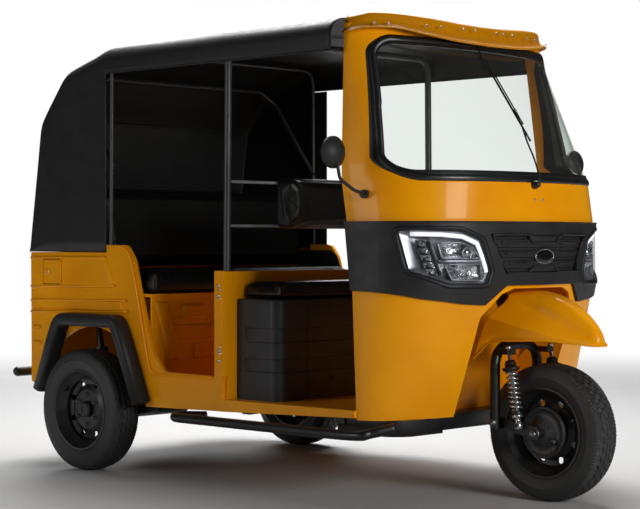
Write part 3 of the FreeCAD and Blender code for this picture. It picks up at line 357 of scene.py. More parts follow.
def rounded_outline(corners, radii, step=STRAIGHT_STEP_MM, turns=CORNER_STEPS):
    """Closed 2-D outline with round corners, as evenly spaced points."""
    points = []
    count = len(corners)
    for i in range(count):
        here = Vector(corners[i])
        back = (Vector(corners[i - 1]) - here).normalized()
        ahead = (Vector(corners[(i + 1) % count]) - here).normalized()
        if radii[i] <= 0:
            points.append(here)
            continue
        half = back.angle(ahead) / 2
        run = radii[i] / math.tan(half)
        centre = here + (back + ahead).normalized() * (radii[i] / math.sin(half))
        start, end = here + back * run - centre, here + ahead * run - centre
        turn = start.angle_signed(end)
        for k in range(turns + 1):
            angle = -turn * k / turns
            points.append(centre + Vector((start.x * math.cos(angle) - start.y * math.sin(angle),
                                           start.x * math.sin(angle) + start.y * math.cos(angle))))
    spaced = []
    for i, here in enumerate(points):
        ahead = points[(i + 1) % len(points)]
        pieces = max(1, round((ahead - here).length / step))
        spaced += [here.lerp(ahead, k / pieces) for k in range(pieces)]
    return spaced


def sweep(name, path, section, material, closed=True, smooth=True):
    """A band swept along frames (place, side, up); section gives (side, up) offsets in mm."""
    points, faces = [], []
    for place, side, up in path:
        points += [place + side * (a / 1000) + up * (b / 1000) for a, b in section]
    rows, wide = len(path), len(section)
    for i in range(rows if closed else rows - 1):
        j = (i + 1) % rows
        faces += [(i * wide + k, i * wide + (k + 1) % wide, j * wide + (k + 1) % wide, j * wide + k)
                  for k in range(wide)]
    if not closed:
        faces += [tuple(range(wide))[::-1], tuple((rows - 1) * wide + k for k in range(wide))]
    made = mesh_object(name, points, faces, material)
    outward(made, smooth)
    return made


def outward(piece, smooth=True):
    """Faces point outwards and shade smooth."""
    form = bmesh.new()
    form.from_mesh(piece.data)
    bmesh.ops.remove_doubles(form, verts=form.verts, dist=1e-6)
    bmesh.ops.recalc_face_normals(form, faces=form.faces)
    for face in form.faces:
        face.smooth = smooth
    form.to_mesh(piece.data)
    form.free()


def path_on(surface, outline, lift=0.0):
    """Frames along a closed outline lying on a surface seen from the front."""
    spots = [front_point(surface, y, z, lift) for y, z in outline]
    path = []
    for i, (place, normal) in enumerate(spots):
        along = (spots[(i + 1) % len(spots)][0] - spots[i - 1][0]).normalized()
        side = along.cross(normal).normalized()
        path.append((place, side, side.cross(along).normalized()))
    return path


def bead_section(width, proud, sink, steps=7):
    """Half-oval cross-section standing proud of a surface and reaching a little into it."""
    arc = [(width / 2 * math.cos(math.pi * k / steps), proud * math.sin(math.pi * k / steps))
           for k in range(steps + 1)]
    return arc + [(-width / 2, -sink), (width / 2, -sink)]


def gasket_rubber():
    """Extruded EPDM: deep black with a soft wiped sheen and faint extrusion drag."""
    material, tree, place = new_material("epdm_rubber_extruded")
    drag = noise(tree, place, 14.0, 3.0)
    bump = bumps(tree, drag, 0.1, 0.0004)
    sheen = add(tree, "ShaderNodeBsdfPrincipled", {
        "Base Color": tinted(tree, noise(tree, place, 40.0), "0d0d0d", "151515"),
        "Roughness": spread(tree, drag, 0.3, 0.42), "IOR": 1.52, "Normal": bump})
    return surfaced(material, sheen)


def clear_glass(name, tint, veil):
    """Clear pane: lets the view through, with a mirror gloss that grows at a slant and a faint dust veil."""
    material, tree, place = new_material(name)
    outer = add(tree, "ShaderNodeNewGeometry")
    front = add(tree, "ShaderNodeMath", {0: 1.0, 1: outer.outputs["Backfacing"]}, operation="SUBTRACT")
    fresnel = add(tree, "ShaderNodeFresnel", {"IOR": 1.45})
    slant = add(tree, "ShaderNodeMath", {0: fresnel.outputs[0], 1: front.outputs[0]}, operation="MULTIPLY")
    through = add(tree, "ShaderNodeBsdfTransparent", {"Color": linear(tint)})
    gloss = add(tree, "ShaderNodeBsdfGlossy", {"Color": linear("ffffff"), "Roughness": 0.03})
    dust = add(tree, "ShaderNodeBsdfDiffuse", {"Color": linear("c9c9c4")})
    dusty = add(tree, "ShaderNodeMath", {0: noise(tree, place, 30.0, 4.0), 1: veil}, operation="MULTIPLY")
    mix = add(tree, "ShaderNodeMixShader", {0: dusty.outputs[0], 1: through.outputs[0], 2: dust.outputs[0]})
    mix = add(tree, "ShaderNodeMixShader", {0: slant.outputs[0], 1: mix.outputs[0], 2: gloss.outputs[0]})
    return surfaced(material, mix)


rubber = gasket_rubber()
dress(("windscreen_seal", "grips"), rubber)
dress(("windscreen_glass",), clear_glass("laminated_windscreen_glass", "f5f8f6", 0.02))
low_half, low_z = SCREEN_LOW_MM
top_half, top_z = SCREEN_TOP_MM
screen_outline = rounded_outline(
    [(-low_half, low_z), (low_half, low_z), (top_half, top_z), (-top_half, top_z)], [SCREEN_CORNER_MM] * 4)
gasket_outline = [(y * GASKET_NARROWER, z + (GASKET_LIP_MM if z < SCREEN_MIDDLE_MM else -GASKET_LIP_MM))
                  for y, z in screen_outline]
seal_surface = surface_of("windscreen_seal")
gasket = sweep("windscreen_gasket_bead", path_on(seal_surface, gasket_outline, -GASKET_SUNK_MM),
               bead_section(GASKET_WIDTH_MM, GASKET_PROUD_MM, GASKET_FOOT_MM), rubber)
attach(gasket, "body")

# -------------------- wiper
# Pressed spring-steel arm in black epoxy on a turned hub at the foot of the glass, with a sprung spine that
# holds an extruded rubber blade to the pane.
WIPER_PIVOT_MM, WIPER_KNEE_MM = (-47.0, 1166.0), (-4.0, 1385.0)
BLADE_LOW_MM, BLADE_TOP_MM = (25.0, 1330.0), (-50.0, 1695.0)
ARM_SHARES, ARM_LIFT_MM, ARM_TIP_LIFT_MM = (0.12, 0.4, 0.7, 1.0), 24.0, 18.0
BLADE_STEPS, BLADE_LIFT_MM = 12, 6.0
ARM_RADIUS_MM, BLADE_RADIUS_MM, SPINE_RADIUS_MM, CLIP_RADIUS_MM = 3.4, 4.0, 2.6, 4.6
HUB_RISE_M, SPINE_OFF_M, CLIP_OFF_M = 0.022, (0.009, 0, 0.003), (0.012, 0, 0)


def tube_along(name, points, radius, material, sides=12):
    """A round rod of a radius in mm through points in metres, with its ends closed."""
    path = [Vector(p) for p in points]
    frames, up = [], None
    for i, here in enumerate(path):
        along = (path[min(i + 1, len(path) - 1)] - path[max(i - 1, 0)]).normalized()
        guess = up if up is not None else (Vector((0, 0, 1)) if abs(along.z) < 0.9 else Vector((1, 0, 0)))
        side = along.cross(guess).normalized()
        up = side.cross(along).normalized()
        frames.append((here, side, up))
    ring = [(radius * math.cos(2 * math.pi * k / sides), radius * math.sin(2 * math.pi * k / sides))
            for k in range(sides)]
    return sweep(name, frames, ring, material, closed=False)


def smooth_route(points, steps=8):
    """A Catmull-Rom line through a few points."""
    points = [Vector(p) for p in points]
    padded = [points[0] * 2 - points[1]] + points + [points[-1] * 2 - points[-2]]
    route = []
    for i in range(1, len(padded) - 2):
        a, b, c, d = padded[i - 1:i + 3]
        for k in range(steps):
            t = k / steps
            route.append(0.5 * (2 * b + (c - a) * t + (2 * a - 5 * b + 4 * c - d) * t ** 2
                                + (3 * b - a - 3 * c + d) * t ** 3))
    return route + [points[-1]]


def join_pieces(name, pieces):
    """Several meshes made one object."""
    form = bmesh.new()
    materials = []
    for piece in pieces:
        start = len(form.faces)
        form.from_mesh(piece.data)
        form.faces.ensure_lookup_table()
        material = piece.data.materials[0]
        if material not in materials:
            materials.append(material)
        for face in form.faces[start:]:
            face.material_index = materials.index(material)
        bpy.data.objects.remove(piece)
    mesh = bpy.data.meshes.new(name)
    form.to_mesh(mesh)
    form.free()
    for material in materials:
        mesh.materials.append(material)
    return placed(name, mesh)


def turned(name, centre, axis, profile, material, steps=24):
    """A turned piece: profile is (radius, height along the axis) in mm, from one end to the other."""
    axis = Vector(axis).normalized()
    across = axis.cross(Vector((0, 0, 1)) if abs(axis.z) < 0.9 else Vector((1, 0, 0))).normalized()
    other = axis.cross(across)
    points, faces, rows = [], [], []
    for radius, height in profile:
        if radius <= 0:
            rows.append([len(points)])
            points.append(centre + axis * (height / 1000))
            continue
        rows.append(list(range(len(points), len(points) + steps)))
        for k in range(steps):
            angle = 2 * math.pi * k / steps
            points.append(centre + axis * (height / 1000)
                          + (across * math.cos(angle) + other * math.sin(angle)) * (radius / 1000))
    for low, high in zip(rows, rows[1:]):
        for k in range(steps):
            j = (k + 1) % steps
            corners = [low[k % len(low)], low[j % len(low)], high[j % len(high)], high[k % len(high)]]
            distinct = list(dict.fromkeys(corners))
            if len(distinct) > 2:
                faces.append(tuple(distinct))
    made = mesh_object(name, points, faces, material)
    outward(made)
    return made


wiper_steel = stoved_coat("black_epoxy_coated_spring_steel", "121212", "1c1c1c", 25.0, 0.32, 0.45)
glass_surface = surface_of("windscreen_glass", "windscreen_seal", "windscreen_frame")
pivot, pivot_normal = front_point(glass_surface, *WIPER_PIVOT_MM, 0.0)
arm_route = [pivot + pivot_normal * HUB_RISE_M]
for share in ARM_SHARES:
    y = WIPER_PIVOT_MM[0] + (WIPER_KNEE_MM[0] - WIPER_PIVOT_MM[0]) * share
    z = WIPER_PIVOT_MM[1] + (WIPER_KNEE_MM[1] - WIPER_PIVOT_MM[1]) * share
    arm_route.append(front_point(glass_surface, y, z, ARM_LIFT_MM if share < 0.5 else ARM_TIP_LIFT_MM)[0])
blade_route = []
for k in range(BLADE_STEPS + 1):
    y = BLADE_LOW_MM[0] + (BLADE_TOP_MM[0] - BLADE_LOW_MM[0]) * k / BLADE_STEPS
    z = BLADE_LOW_MM[1] + (BLADE_TOP_MM[1] - BLADE_LOW_MM[1]) * k / BLADE_STEPS
    blade_route.append(front_point(glass_surface, y, z, BLADE_LIFT_MM)[0])
spine_route = [p + Vector(SPINE_OFF_M) for p in blade_route[2:11]]
hub = turned("hub", pivot, pivot_normal, [(0, -4), (15, -4), (16, 6), (14, 16), (11, 24), (7, 29), (0, 30)],
             wiper_steel)
wiper = join_pieces("wiper_arm_and_blade", [
    hub, tube_along("arm", smooth_route(arm_route, 5), ARM_RADIUS_MM, wiper_steel, 8),
    tube_along("blade", blade_route, BLADE_RADIUS_MM, rubber, 8),
    tube_along("spine", spine_route, SPINE_RADIUS_MM, wiper_steel, 8),
    tube_along("clip", [arm_route[-1], blade_route[4] + Vector(CLIP_OFF_M)], CLIP_RADIUS_MM, wiper_steel, 8)])
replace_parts(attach(wiper, "body"), "wiper")

# -------------------- head lamps
# Each lamp is a vacuum-metallised polycarbonate housing with a frosted light bar, an upper projector and a
# lower bowl, closed by a clear hard-coated lens bonded into a dark rim.
LAMP_OUTLINE_MM = ((-575.0, 1002.0), (-412.0, 995.0), (-326.0, 962.0), (-284.0, 850.0), (-301.0, 802.0),
                   (-450.0, 804.0), (-556.0, 850.0))
LAMP_RADII_MM = (14.0, 60.0, 24.0, 26.0, 16.0, 60.0, 24.0)
LIGHT_BAR_MM = ((-548.0, 984.0), (-470.0, 982.0), (-398.0, 974.0), (-340.0, 950.0), (-318.0, 908.0),
                (-300.0, 862.0), (-297.0, 846.0))
UPPER_BOWL_MM = ((-482.0, 955.0), (-404.0, 953.0), (-352.0, 932.0), (-325.0, 897.0), (-468.0, 897.0))
LOWER_BOWL_MM = ((-462.0, 876.0), (-316.0, 876.0), (-300.0, 838.0), (-310.0, 817.0), (-436.0, 820.0))
SLANT_BAR_MM = ((-508.0, 958.0), (-474.0, 838.0))
PROJECTOR_MM, PROJECTOR_RADIUS_MM = (-376.0, 915.0), 19.0
PROJECTOR_AXIS, PROJECTOR_SUNK_MM = (1, -0.25, 0), 22.0
DIVIDER_MM = ((-478.0, 887.0), (-308.0, 887.0))
FLUTED_FIELD_MM = ((-540.0, 964.0), (-512.0, 964.0), (-476.0, 836.0), (-510.0, 838.0))
LOUVRE_COUNT, LOUVRE_TOP_Z_MM, LOUVRE_PITCH_MM, LOUVRE_SHIFT_MM = 5, 950.0, 24.5, 7.0
LOUVRE_MM = ((-534.0, 0.0, 1.0), (-528.0, -8.0, 1.0), (-502.0, -17.0, 0.9),
             (-536.0, -18.0, 1.0))     # y, z below its top, share of the shift
LAMP_DEPTH_MM = 30.0
# Dark spots inside the lamp, between the reflector's parts: painted shade.
PAINTED_SHADE_SPOTS_MM = (((-395.0, 925.0), (-405.0, 914.0), (-425.0, 914.0), (-418.0, 926.0)),
             ((-440.0, 873.0), (-418.0, 874.0), (-424.0, 865.0), (-436.0, 866.0)),
             ((-334.0, 930.0), (-322.0, 903.0), (-329.0, 902.0), (-340.0, 926.0)),
             ((-330.0, 872.0), (-322.0, 872.0), (-316.0, 822.0), (-322.0, 820.0)))


def bright_metal(name, dark, light, patch_mm, rough_low, rough_high, relief):
    """Bright metal, solid or flashed on plastic: flutes or casting grain break up what it mirrors."""
    material, tree, place = new_material(name)
    ripple = noise(tree, place, patch_mm, 3.0)
    bump = bumps(tree, ripple, relief, 0.002)
    bright = add(tree, "ShaderNodeBsdfPrincipled", {
        "Base Color": tinted(tree, ripple, dark, light), "Metallic": 0.85,
        "Roughness": spread(tree, ripple, rough_low, rough_high), "Normal": bump})
    return surfaced(material, bright)


def frosted_light_bar():
    """Opal polycarbonate light guide, softly lit from behind."""
    material, tree, place = new_material("opal_polycarbonate_light_guide")
    cloud = noise(tree, place, 20.0)
    milk = add(tree, "ShaderNodeBsdfPrincipled", {
        "Base Color": tinted(tree, cloud, "f2f4f6", "ffffff"), "Roughness": spread(tree, cloud, 0.3, 0.4),
        "Emission Color": linear("f4f8ff"), "Emission Strength": 0.55})
    return surfaced(material, milk)


def centre_of(outline):
    """Mean point of an outline."""
    return Vector((sum(p[0] for p in outline) / len(outline), sum(p[1] for p in outline) / len(outline)))


def dished_patch(name, surface, outline, levels, material, smooth=True):
    """Skin over an outline on a surface; levels are (share of the outline kept, height in mm)."""
    middle = centre_of(outline)
    points, faces, rows = [], [], []
    for share, height in levels:
        ring = [middle] if share <= 0 else [middle.lerp(Vector(p), share) for p in outline]
        rows.append(list(range(len(points), len(points) + len(ring))))
        points += [front_point(surface, p[0], p[1], height)[0] for p in ring]
    for low, high in zip(rows, rows[1:]):
        for k in range(len(outline)):
            j = (k + 1) % len(outline)
            corners = list(dict.fromkeys([low[k], low[j], high[j % len(high)], high[k % len(high)]]))
            faces.append(tuple(corners))
    made = mesh_object(name, points, faces, material)
    for face in made.data.polygons:
        face.use_smooth = smooth
    return made


def bar_on(name, surface, line, width, proud, material, height=0.0, steps=6):
    """A rounded bar lying on a surface along a line of (y, z) points."""
    line = [Vector(p) for p in line]
    route = []
    for low, high in zip(line, line[1:]):
        route += [low.lerp(high, k / steps) for k in range(steps)]
    route.append(line[-1])
    places = [front_point(surface, p[0], p[1], height) for p in route]
    frames = []
    for i, (place, normal) in enumerate(places):
        along = (places[min(i + 1, len(places) - 1)][0] - places[max(i - 1, 0)][0]).normalized()
        side = along.cross(normal).normalized()
        frames.append((place, side, side.cross(along).normalized()))
    return sweep(name, frames, bead_section(width, proud, 1.0, 6), material, closed=False)


silver = bright_metal("metallised_polycarbonate_housing", "8e8e94", "b9b9bf", 60.0, 0.32, 0.42, 0.1)
fluted = bright_metal("metallised_fluted_reflector", "6d6e72", "e4e6ea", 11.0, 0.12, 0.3, 0.9)
# A moulding darker than the panel's charcoal: the lamps' dark trim, and painted shade where it stands for the
# recess round each lamp, the dark spots in the lamps and the seat box's fixing holes.
dark_trim_and_painted_shade = grained_moulding("dark_lamp_trim_and_painted_shade", "141416", "202024", 4.0, 0.4, 0.5)
opal = frosted_light_bar()
lens_clear = clear_glass("hard_coated_polycarbonate_lens", "f6f8fa", 0.02)
lamp_surface = surface_of("headlamps")
lamp_outline = rounded_outline(LAMP_OUTLINE_MM, LAMP_RADII_MM, 18.0, 6)
housing = dished_patch("housing", lamp_surface, lamp_outline, [
    (1.0, -1.0), (0.985, -3.0), (0.97, -8.0), (0.87, -10.0), (0.85, -LAMP_DEPTH_MM),
    (0.5, -LAMP_DEPTH_MM - 2), (0.0, -LAMP_DEPTH_MM - 2)], silver)
inner = []
for k in range(LOUVRE_COUNT):
    top = LOUVRE_TOP_Z_MM - LOUVRE_PITCH_MM * k
    shift = LOUVRE_SHIFT_MM * k
    outline = [(y + shift * share, top + z) for y, z, share in LOUVRE_MM]
    inner.append(dished_patch("louvre", lamp_surface, outline, [(1.0, -12.0), (0.9, -9.0), (0.0, -8.0)],
                              dark_trim_and_painted_shade, False))
inner.append(bar_on("slant", lamp_surface, SLANT_BAR_MM, 13.0, 6.0, dark_trim_and_painted_shade, -12.0))
inner.append(bar_on("divider", lamp_surface, DIVIDER_MM, 14.0, 8.0, silver, -14.0))
bowls = [dished_patch("bowl", lamp_surface, rounded_outline(form, [14.0] * 5, 12.0, 4), [
    (1.0, -9.0), (0.96, -12.0), (0.8, -20.0), (0.5, -27.0), (0.2, -29.5), (0.0, -29.5)], fluted)
    for form in (UPPER_BOWL_MM, LOWER_BOWL_MM)]
rims = [bar_on("rim", lamp_surface, list(form) + [form[0]], 5.0, 4.0, silver, -10.0)
        for form in (UPPER_BOWL_MM, LOWER_BOWL_MM)]
louvre_field = dished_patch("field", lamp_surface, FLUTED_FIELD_MM,
                            [(1.0, -13.0), (0.5, -13.0), (0.0, -13.0)], fluted)
# The dark spots are painted shade, set just in front of the housing.
for form in PAINTED_SHADE_SPOTS_MM:
    inner.append(dished_patch("painted_shade_spot", lamp_surface, form, [(1.0, -12.0), (0.0, -11.0)], dark_trim_and_painted_shade, False))
eye_at = front_point(lamp_surface, PROJECTOR_MM[0], PROJECTOR_MM[1], -PROJECTOR_SUNK_MM)[0]
eye = turned("eye", eye_at, Vector(PROJECTOR_AXIS), [
    (PROJECTOR_RADIUS_MM + 4, -4), (PROJECTOR_RADIUS_MM + 4, 7), (PROJECTOR_RADIUS_MM + 1, 9),
    (PROJECTOR_RADIUS_MM - 1, 7)], silver)
pupil = turned("pupil", eye_at, Vector(PROJECTOR_AXIS), [
    (PROJECTOR_RADIUS_MM, 5), (PROJECTOR_RADIUS_MM * 0.85, 11), (PROJECTOR_RADIUS_MM * 0.5, 15), (0, 16.5)],
    bright_metal("pressed_projector_lens", "9a9ca0", "b4b6ba", 30.0, 0.08, 0.14, 0.02))
light_bar = bar_on("light_bar", lamp_surface, LIGHT_BAR_MM, 16.0, 7.0, opal, -8.0)
inside = join_pieces("head_lamp_inside_right",
                     [housing, louvre_field, light_bar, eye, pupil] + inner + bowls + rims)
lens = dished_patch("head_lamp_lens_right", lamp_surface, lamp_outline,
                    [(1.0, -0.5), (0.97, 0.4), (0.7, 0.6), (0.4, 0.8), (0.0, 0.8)], lens_clear)
rim_outline = [centre_of(lamp_outline).lerp(Vector(p), 0.994) for p in lamp_outline]
rim = sweep("head_lamp_rim_right", path_on(lamp_surface, rim_outline, -2.5),
            bead_section(7.0, 4.0, 4.0, 5), dark_trim_and_painted_shade)


def mirror_copy(name, piece):
    """The same piece for the other side of the vehicle."""
    mesh = piece.data.copy()
    mesh.transform(Matrix.Scale(-1.0, 4, Vector((0, 1, 0))))
    mesh.flip_normals()
    return placed(name, mesh)


for piece in (inside, lens, rim):
    other = mirror_copy(piece.name.replace("right", "left"), piece)
    for lamp in (piece, other):
        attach(lamp, "body")
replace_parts(inside, "headlamps")

# -------------------- grille
# The middle of the lamp panel is a blind grille: three broad slats in a recess inside a raised bead with a
# tab above and a step below, all moulded in one with the panel. The oval boss is a bare black cap with a
# bright rim.
SLATS_Z_MM = ((932.0, 968.0), (895.0, 926.0), (856.0, 889.0))
SLAT_PROUD_MM = 7.0
GRILLE_SLOPE = 74.0 / 139.0        # half width gained for each millimetre of height
BEAD_LINE_MM = ((284.0, 982.0), (99.0, 982.0), (70.0, 952.0), (-70.0, 952.0), (-99.0, 982.0), (-284.0, 982.0),
                (-210.0, 844.0), (-90.0, 844.0), (-59.0, 866.0), (59.0, 866.0), (90.0, 844.0), (210.0, 844.0),
                (284.0, 982.0))
GRILLE_FOOT_Z_MM, GRILLE_FOOT_HALF_MM, SLAT_GAP_MM = 843.0, 211.0, 9.0
SLAT_STEP_MM, SLAT_CHAMFER_MM, SLAT_END_MM = 110.0, 5.0, 150.0
RIDGE_INNER_MM, RIDGE_INSET_MM, RIDGE_LIFT_MM = 104.0, 18.0, 3.0
TAB_MM = ((99.0, 981.0), (70.0, 953.0), (-70.0, 953.0), (-99.0, 981.0))
STEP_MM = ((90.0, 845.0), (59.0, 865.0), (-59.0, 865.0), (-90.0, 845.0))
BOSS_HALF_MM, BOSS_Z_MM, BOSS_POINTS = (55.0, 26.0), 902.0, 40
SURROUND_WIDTH_MM = 9.0
TOP_ROLL_HALF_MM, TOP_ROLL_Z_MM, TOP_ROLL_STEPS = 596.0, 1027.0, 60


def grille_half(z):
    """Half width of the grille's recess at height z, less the gap beside a slat."""
    return GRILLE_FOOT_HALF_MM + (z - GRILLE_FOOT_Z_MM) * GRILLE_SLOPE - SLAT_GAP_MM


field_surface = surface_of("front_panel")
grille = []
for low, high in SLATS_Z_MM:
    wide_low, wide_high = grille_half(low), grille_half(high)
    form = [(y, low) for y in (-wide_low, -SLAT_STEP_MM, 0.0, SLAT_STEP_MM, wide_low)]
    form += [(y, high) for y in (wide_high, SLAT_STEP_MM, 0.0, -SLAT_STEP_MM, -wide_high)]
    middle = (low + high) / 2
    points, faces = [], []
    for lift, shrink in ((-1.0, 0.0), (SLAT_PROUD_MM, SLAT_CHAMFER_MM)):
        for y, z in form:
            z_in = z + shrink * (1 if z < middle else -1)
            y_in = y - math.copysign(shrink, y) if abs(y) > SLAT_END_MM else y
            points.append(front_point(field_surface, y_in, z_in, lift)[0])
    count = len(form)
    for k in range(count):
        j = (k + 1) % count
        faces.append((k, j, count + j, count + k))
    for k in range(4):
        faces.append((count + k, count + k + 1, count + 8 - k, count + 9 - k))
    slat = mesh_object("slat", points, faces, charcoal)
    outward(slat, False)
    grille.append(slat)
    for side in (-1, 1):
        near, far = side * RIDGE_INNER_MM, side * (wide_low - RIDGE_INSET_MM)
        ridge = [(near, middle + RIDGE_LIFT_MM), (far, middle + RIDGE_LIFT_MM)]
        grille.append(bar_on("ridge", field_surface, ridge, 9.0, 5.0, charcoal, SLAT_PROUD_MM - 0.5))
grille.append(bar_on("bead", field_surface, BEAD_LINE_MM, 9.0, 9.0, charcoal, 6.0, 4))
for outline in (TAB_MM, STEP_MM):
    grille.append(dished_patch("raised", field_surface, outline, [(1.0, 8.0), (0.6, 10.0), (0.0, 10.0)],
                               charcoal, False))
grille = join_pieces("grille_slats_and_bead", grille)
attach(grille, "body")

boss_turns = [2 * math.pi * k / BOSS_POINTS for k in range(BOSS_POINTS)]
boss_ring = [(BOSS_HALF_MM[0] * math.cos(turn), BOSS_Z_MM + BOSS_HALF_MM[1] * math.sin(turn))
             for turn in boss_turns]
gloss_cap = stoved_coat("gloss_black_abs_cap", "0b0b0c", "121213", 30.0, 0.12, 0.18)
boss = dished_patch("boss", field_surface, boss_ring,
                    [(1.0, 5.0), (0.98, 11.0), (0.9, 13.0), (0.5, 14.0), (0.0, 14.3)], gloss_cap)
chrome = bright_metal("bright_chrome_plate", "b9babd", "d6d7d9", 50.0, 0.12, 0.2, 0.03)
boss_rim = sweep("boss_rim", path_on(field_surface, boss_ring, 10.0), bead_section(3.4, 3.0, 4.0, 5), chrome)
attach(join_pieces("grille_plain_oval_boss", [boss, boss_rim]), "body")

# Stepped surround of each lamp, in the darker moulding as painted shade of the recess round the lamp, and the
# rolled upper edge of the panel, part of the same moulding
panel_edges = []
for flip in (1, -1):
    outline = [(p[0] * flip, p[1]) for p in (lamp_outline if flip > 0 else lamp_outline[::-1])]
    middle = centre_of(outline)
    ring = [Vector(p) + (Vector(p) - middle).normalized() * SURROUND_WIDTH_MM for p in outline]
    panel_edges.append(sweep("surround", path_on(field_surface, ring),
                             [(-8.0, -6.0), (-7.0, 2.0), (0.0, 3.0), (8.0, 1.0), (9.0, -3.0)], dark_trim_and_painted_shade))
top_line = [(-TOP_ROLL_HALF_MM + 2 * TOP_ROLL_HALF_MM * k / TOP_ROLL_STEPS, TOP_ROLL_Z_MM)
            for k in range(TOP_ROLL_STEPS + 1)]
panel_edges.append(bar_on("top_roll", field_surface, top_line, 7.0, 4.0, charcoal, -1.0, 1))
panel_trim = join_pieces("lamp_panel_edges", panel_edges)
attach(panel_trim, "body")

# -------------------- screws
# Zinc-plated pan-head screws hold the visor, door posts, bulkhead and cowl: pressed domes with a cross recess.
# The small washer under each is not drawn.
SCREW_HEAD_MM, SCREW_RISE_MM = 7.5, 3.6
RECESS_LONG, RECESS_WIDE = 1.1, 0.24             # the cross recess as shares of the head's radius
VISOR_SCREWS_MM = (-515.0, -478.0, -330.0, -262.0, -150.0, -85.0, 40.0, 85.0, 150.0, 262.0, 330.0, 478.0,
                   515.0)
VISOR_SCREW_Z_MM = 1752.0
COWL_SCREWS_MM, COWL_SCREW_Z_MM = (-47.0, 3.0), 1111.0
SHEET_BESIDE_MM, SLOPE_BESIDE_MM = 9.0, 12.0     # where the sheet next to a cowl screw is measured
POST_SCREWS_MM = ((1433.0, 1096.0), (1433.0, 1072.0), (1433.0, 1012.0), (1433.0, 998.0),
                  (790.0, 770.0), (790.0, 735.0), (790.0, 545.0), (790.0, 520.0))
BESIDE_MM = 1500.0                 # where rays from the side start


def zinc_plate():
    """Clear-passivated zinc: pale grey metal with a broken satin sheen."""
    material, tree, place = new_material("zinc_plated_steel")
    cloud = noise(tree, place, 6.0, 3.0)
    metal = add(tree, "ShaderNodeBsdfPrincipled", {
        "Base Color": tinted(tree, cloud, "8d8f90", "b4b6b6"), "Metallic": 0.9,
        "Roughness": spread(tree, cloud, 0.25, 0.4)})
    return surfaced(material, metal)


def screw_tree():
    """Screws on the points of a mesh, turned to each point's own direction."""
    tree = bpy.data.node_groups.new("pan_head_screws", "GeometryNodeTree")
    tree.interface.new_socket("Points", in_out="INPUT", socket_type="NodeSocketGeometry")
    for name, kind, default in (("Head radius", "NodeSocketFloat", SCREW_HEAD_MM / 1000),
                                ("Head rise", "NodeSocketFloat", SCREW_RISE_MM / 1000)):
        socket = tree.interface.new_socket(name, in_out="INPUT", socket_type=kind)
        socket.default_value = default
    tree.interface.new_socket("Finish", in_out="INPUT", socket_type="NodeSocketMaterial")
    tree.interface.new_socket("Screws", in_out="OUTPUT", socket_type="NodeSocketGeometry")
    given = add(tree, "NodeGroupInput")
    dome = add(tree, "GeometryNodeMeshUVSphere", {"Segments": 16, "Rings": 8, "Radius": 1.0})
    size = add(tree, "ShaderNodeCombineXYZ", {"X": given.outputs["Head radius"],
                                              "Y": given.outputs["Head radius"],
                                              "Z": given.outputs["Head rise"]})
    head = add(tree, "GeometryNodeTransform", {"Geometry": dome.outputs["Mesh"], "Scale": size.outputs[0]})
    cross = add(tree, "GeometryNodeMeshCube", {"Size": (1.0, 1.0, 1.0)})
    long_side, wide_side = [add(tree, "ShaderNodeMath", {0: given.outputs["Head radius"], 1: share},
                                operation="MULTIPLY").outputs[0] for share in (RECESS_LONG, RECESS_WIDE)]
    bar_size = add(tree, "ShaderNodeCombineXYZ", {"X": long_side, "Y": wide_side,
                                                  "Z": given.outputs["Head rise"]})
    lift = add(tree, "ShaderNodeCombineXYZ", {"Z": given.outputs["Head rise"]})
    bar = add(tree, "GeometryNodeTransform", {"Geometry": cross.outputs["Mesh"], "Scale": bar_size.outputs[0],
                                              "Translation": lift.outputs[0]})
    other = add(tree, "GeometryNodeTransform", {"Geometry": bar.outputs["Geometry"],
                                                "Rotation": (0.0, 0.0, math.pi / 2)})
    recess = add(tree, "GeometryNodeJoinGeometry")
    tree.links.new(bar.outputs["Geometry"], recess.inputs[0])
    tree.links.new(other.outputs["Geometry"], recess.inputs[0])
    cut = add(tree, "GeometryNodeMeshBoolean", {"Mesh 1": head.outputs["Geometry"],
                                                "Mesh 2": recess.outputs[0]}, operation="DIFFERENCE")
    direction = add(tree, "GeometryNodeInputNamedAttribute", {"Name": "facing"}, data_type="FLOAT_VECTOR")
    turn = add(tree, "FunctionNodeAlignRotationToVector", {"Vector": direction.outputs["Attribute"]},
               axis="Z")
    spots = add(tree, "GeometryNodeInstanceOnPoints", {
        "Points": given.outputs["Points"], "Instance": cut.outputs["Mesh"],
        "Rotation": turn.outputs["Rotation"]})
    real = add(tree, "GeometryNodeRealizeInstances", {"Geometry": spots.outputs["Instances"]})
    finished = add(tree, "GeometryNodeSetMaterial", {"Geometry": real.outputs["Geometry"],
                                                     "Material": given.outputs["Finish"]})
    add(tree, "NodeGroupOutput", {"Screws": finished.outputs["Geometry"]})
    return tree


screws_tree = screw_tree()


def baked(piece):
    """The mesh of a piece with its modifiers applied."""
    return bpy.data.meshes.new_from_object(piece.evaluated_get(bpy.context.evaluated_depsgraph_get()))


def screw_set(name, places, body, finish, radius_mm=SCREW_HEAD_MM, rise_mm=SCREW_RISE_MM):
    """One mesh with a screw at each (place, direction)."""
    holder = mesh_object(name + "_points", [place for place, _ in places], [])
    facing = holder.data.attributes.new("facing", "FLOAT_VECTOR", "POINT")
    facing.data.foreach_set("vector", [c for _, direction in places for c in direction])
    modifier = holder.modifiers.new("screws", "NODES")
    modifier.node_group = screws_tree
    ids = {item.name: item.identifier for item in screws_tree.interface.items_tree if item.in_out == "INPUT"}
    modifier[ids["Head radius"]] = radius_mm / 1000
    modifier[ids["Head rise"]] = rise_mm / 1000
    modifier[ids["Finish"]] = finish
    mesh = baked(holder)
    bpy.data.objects.remove(holder)
    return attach(placed(name, mesh), body)


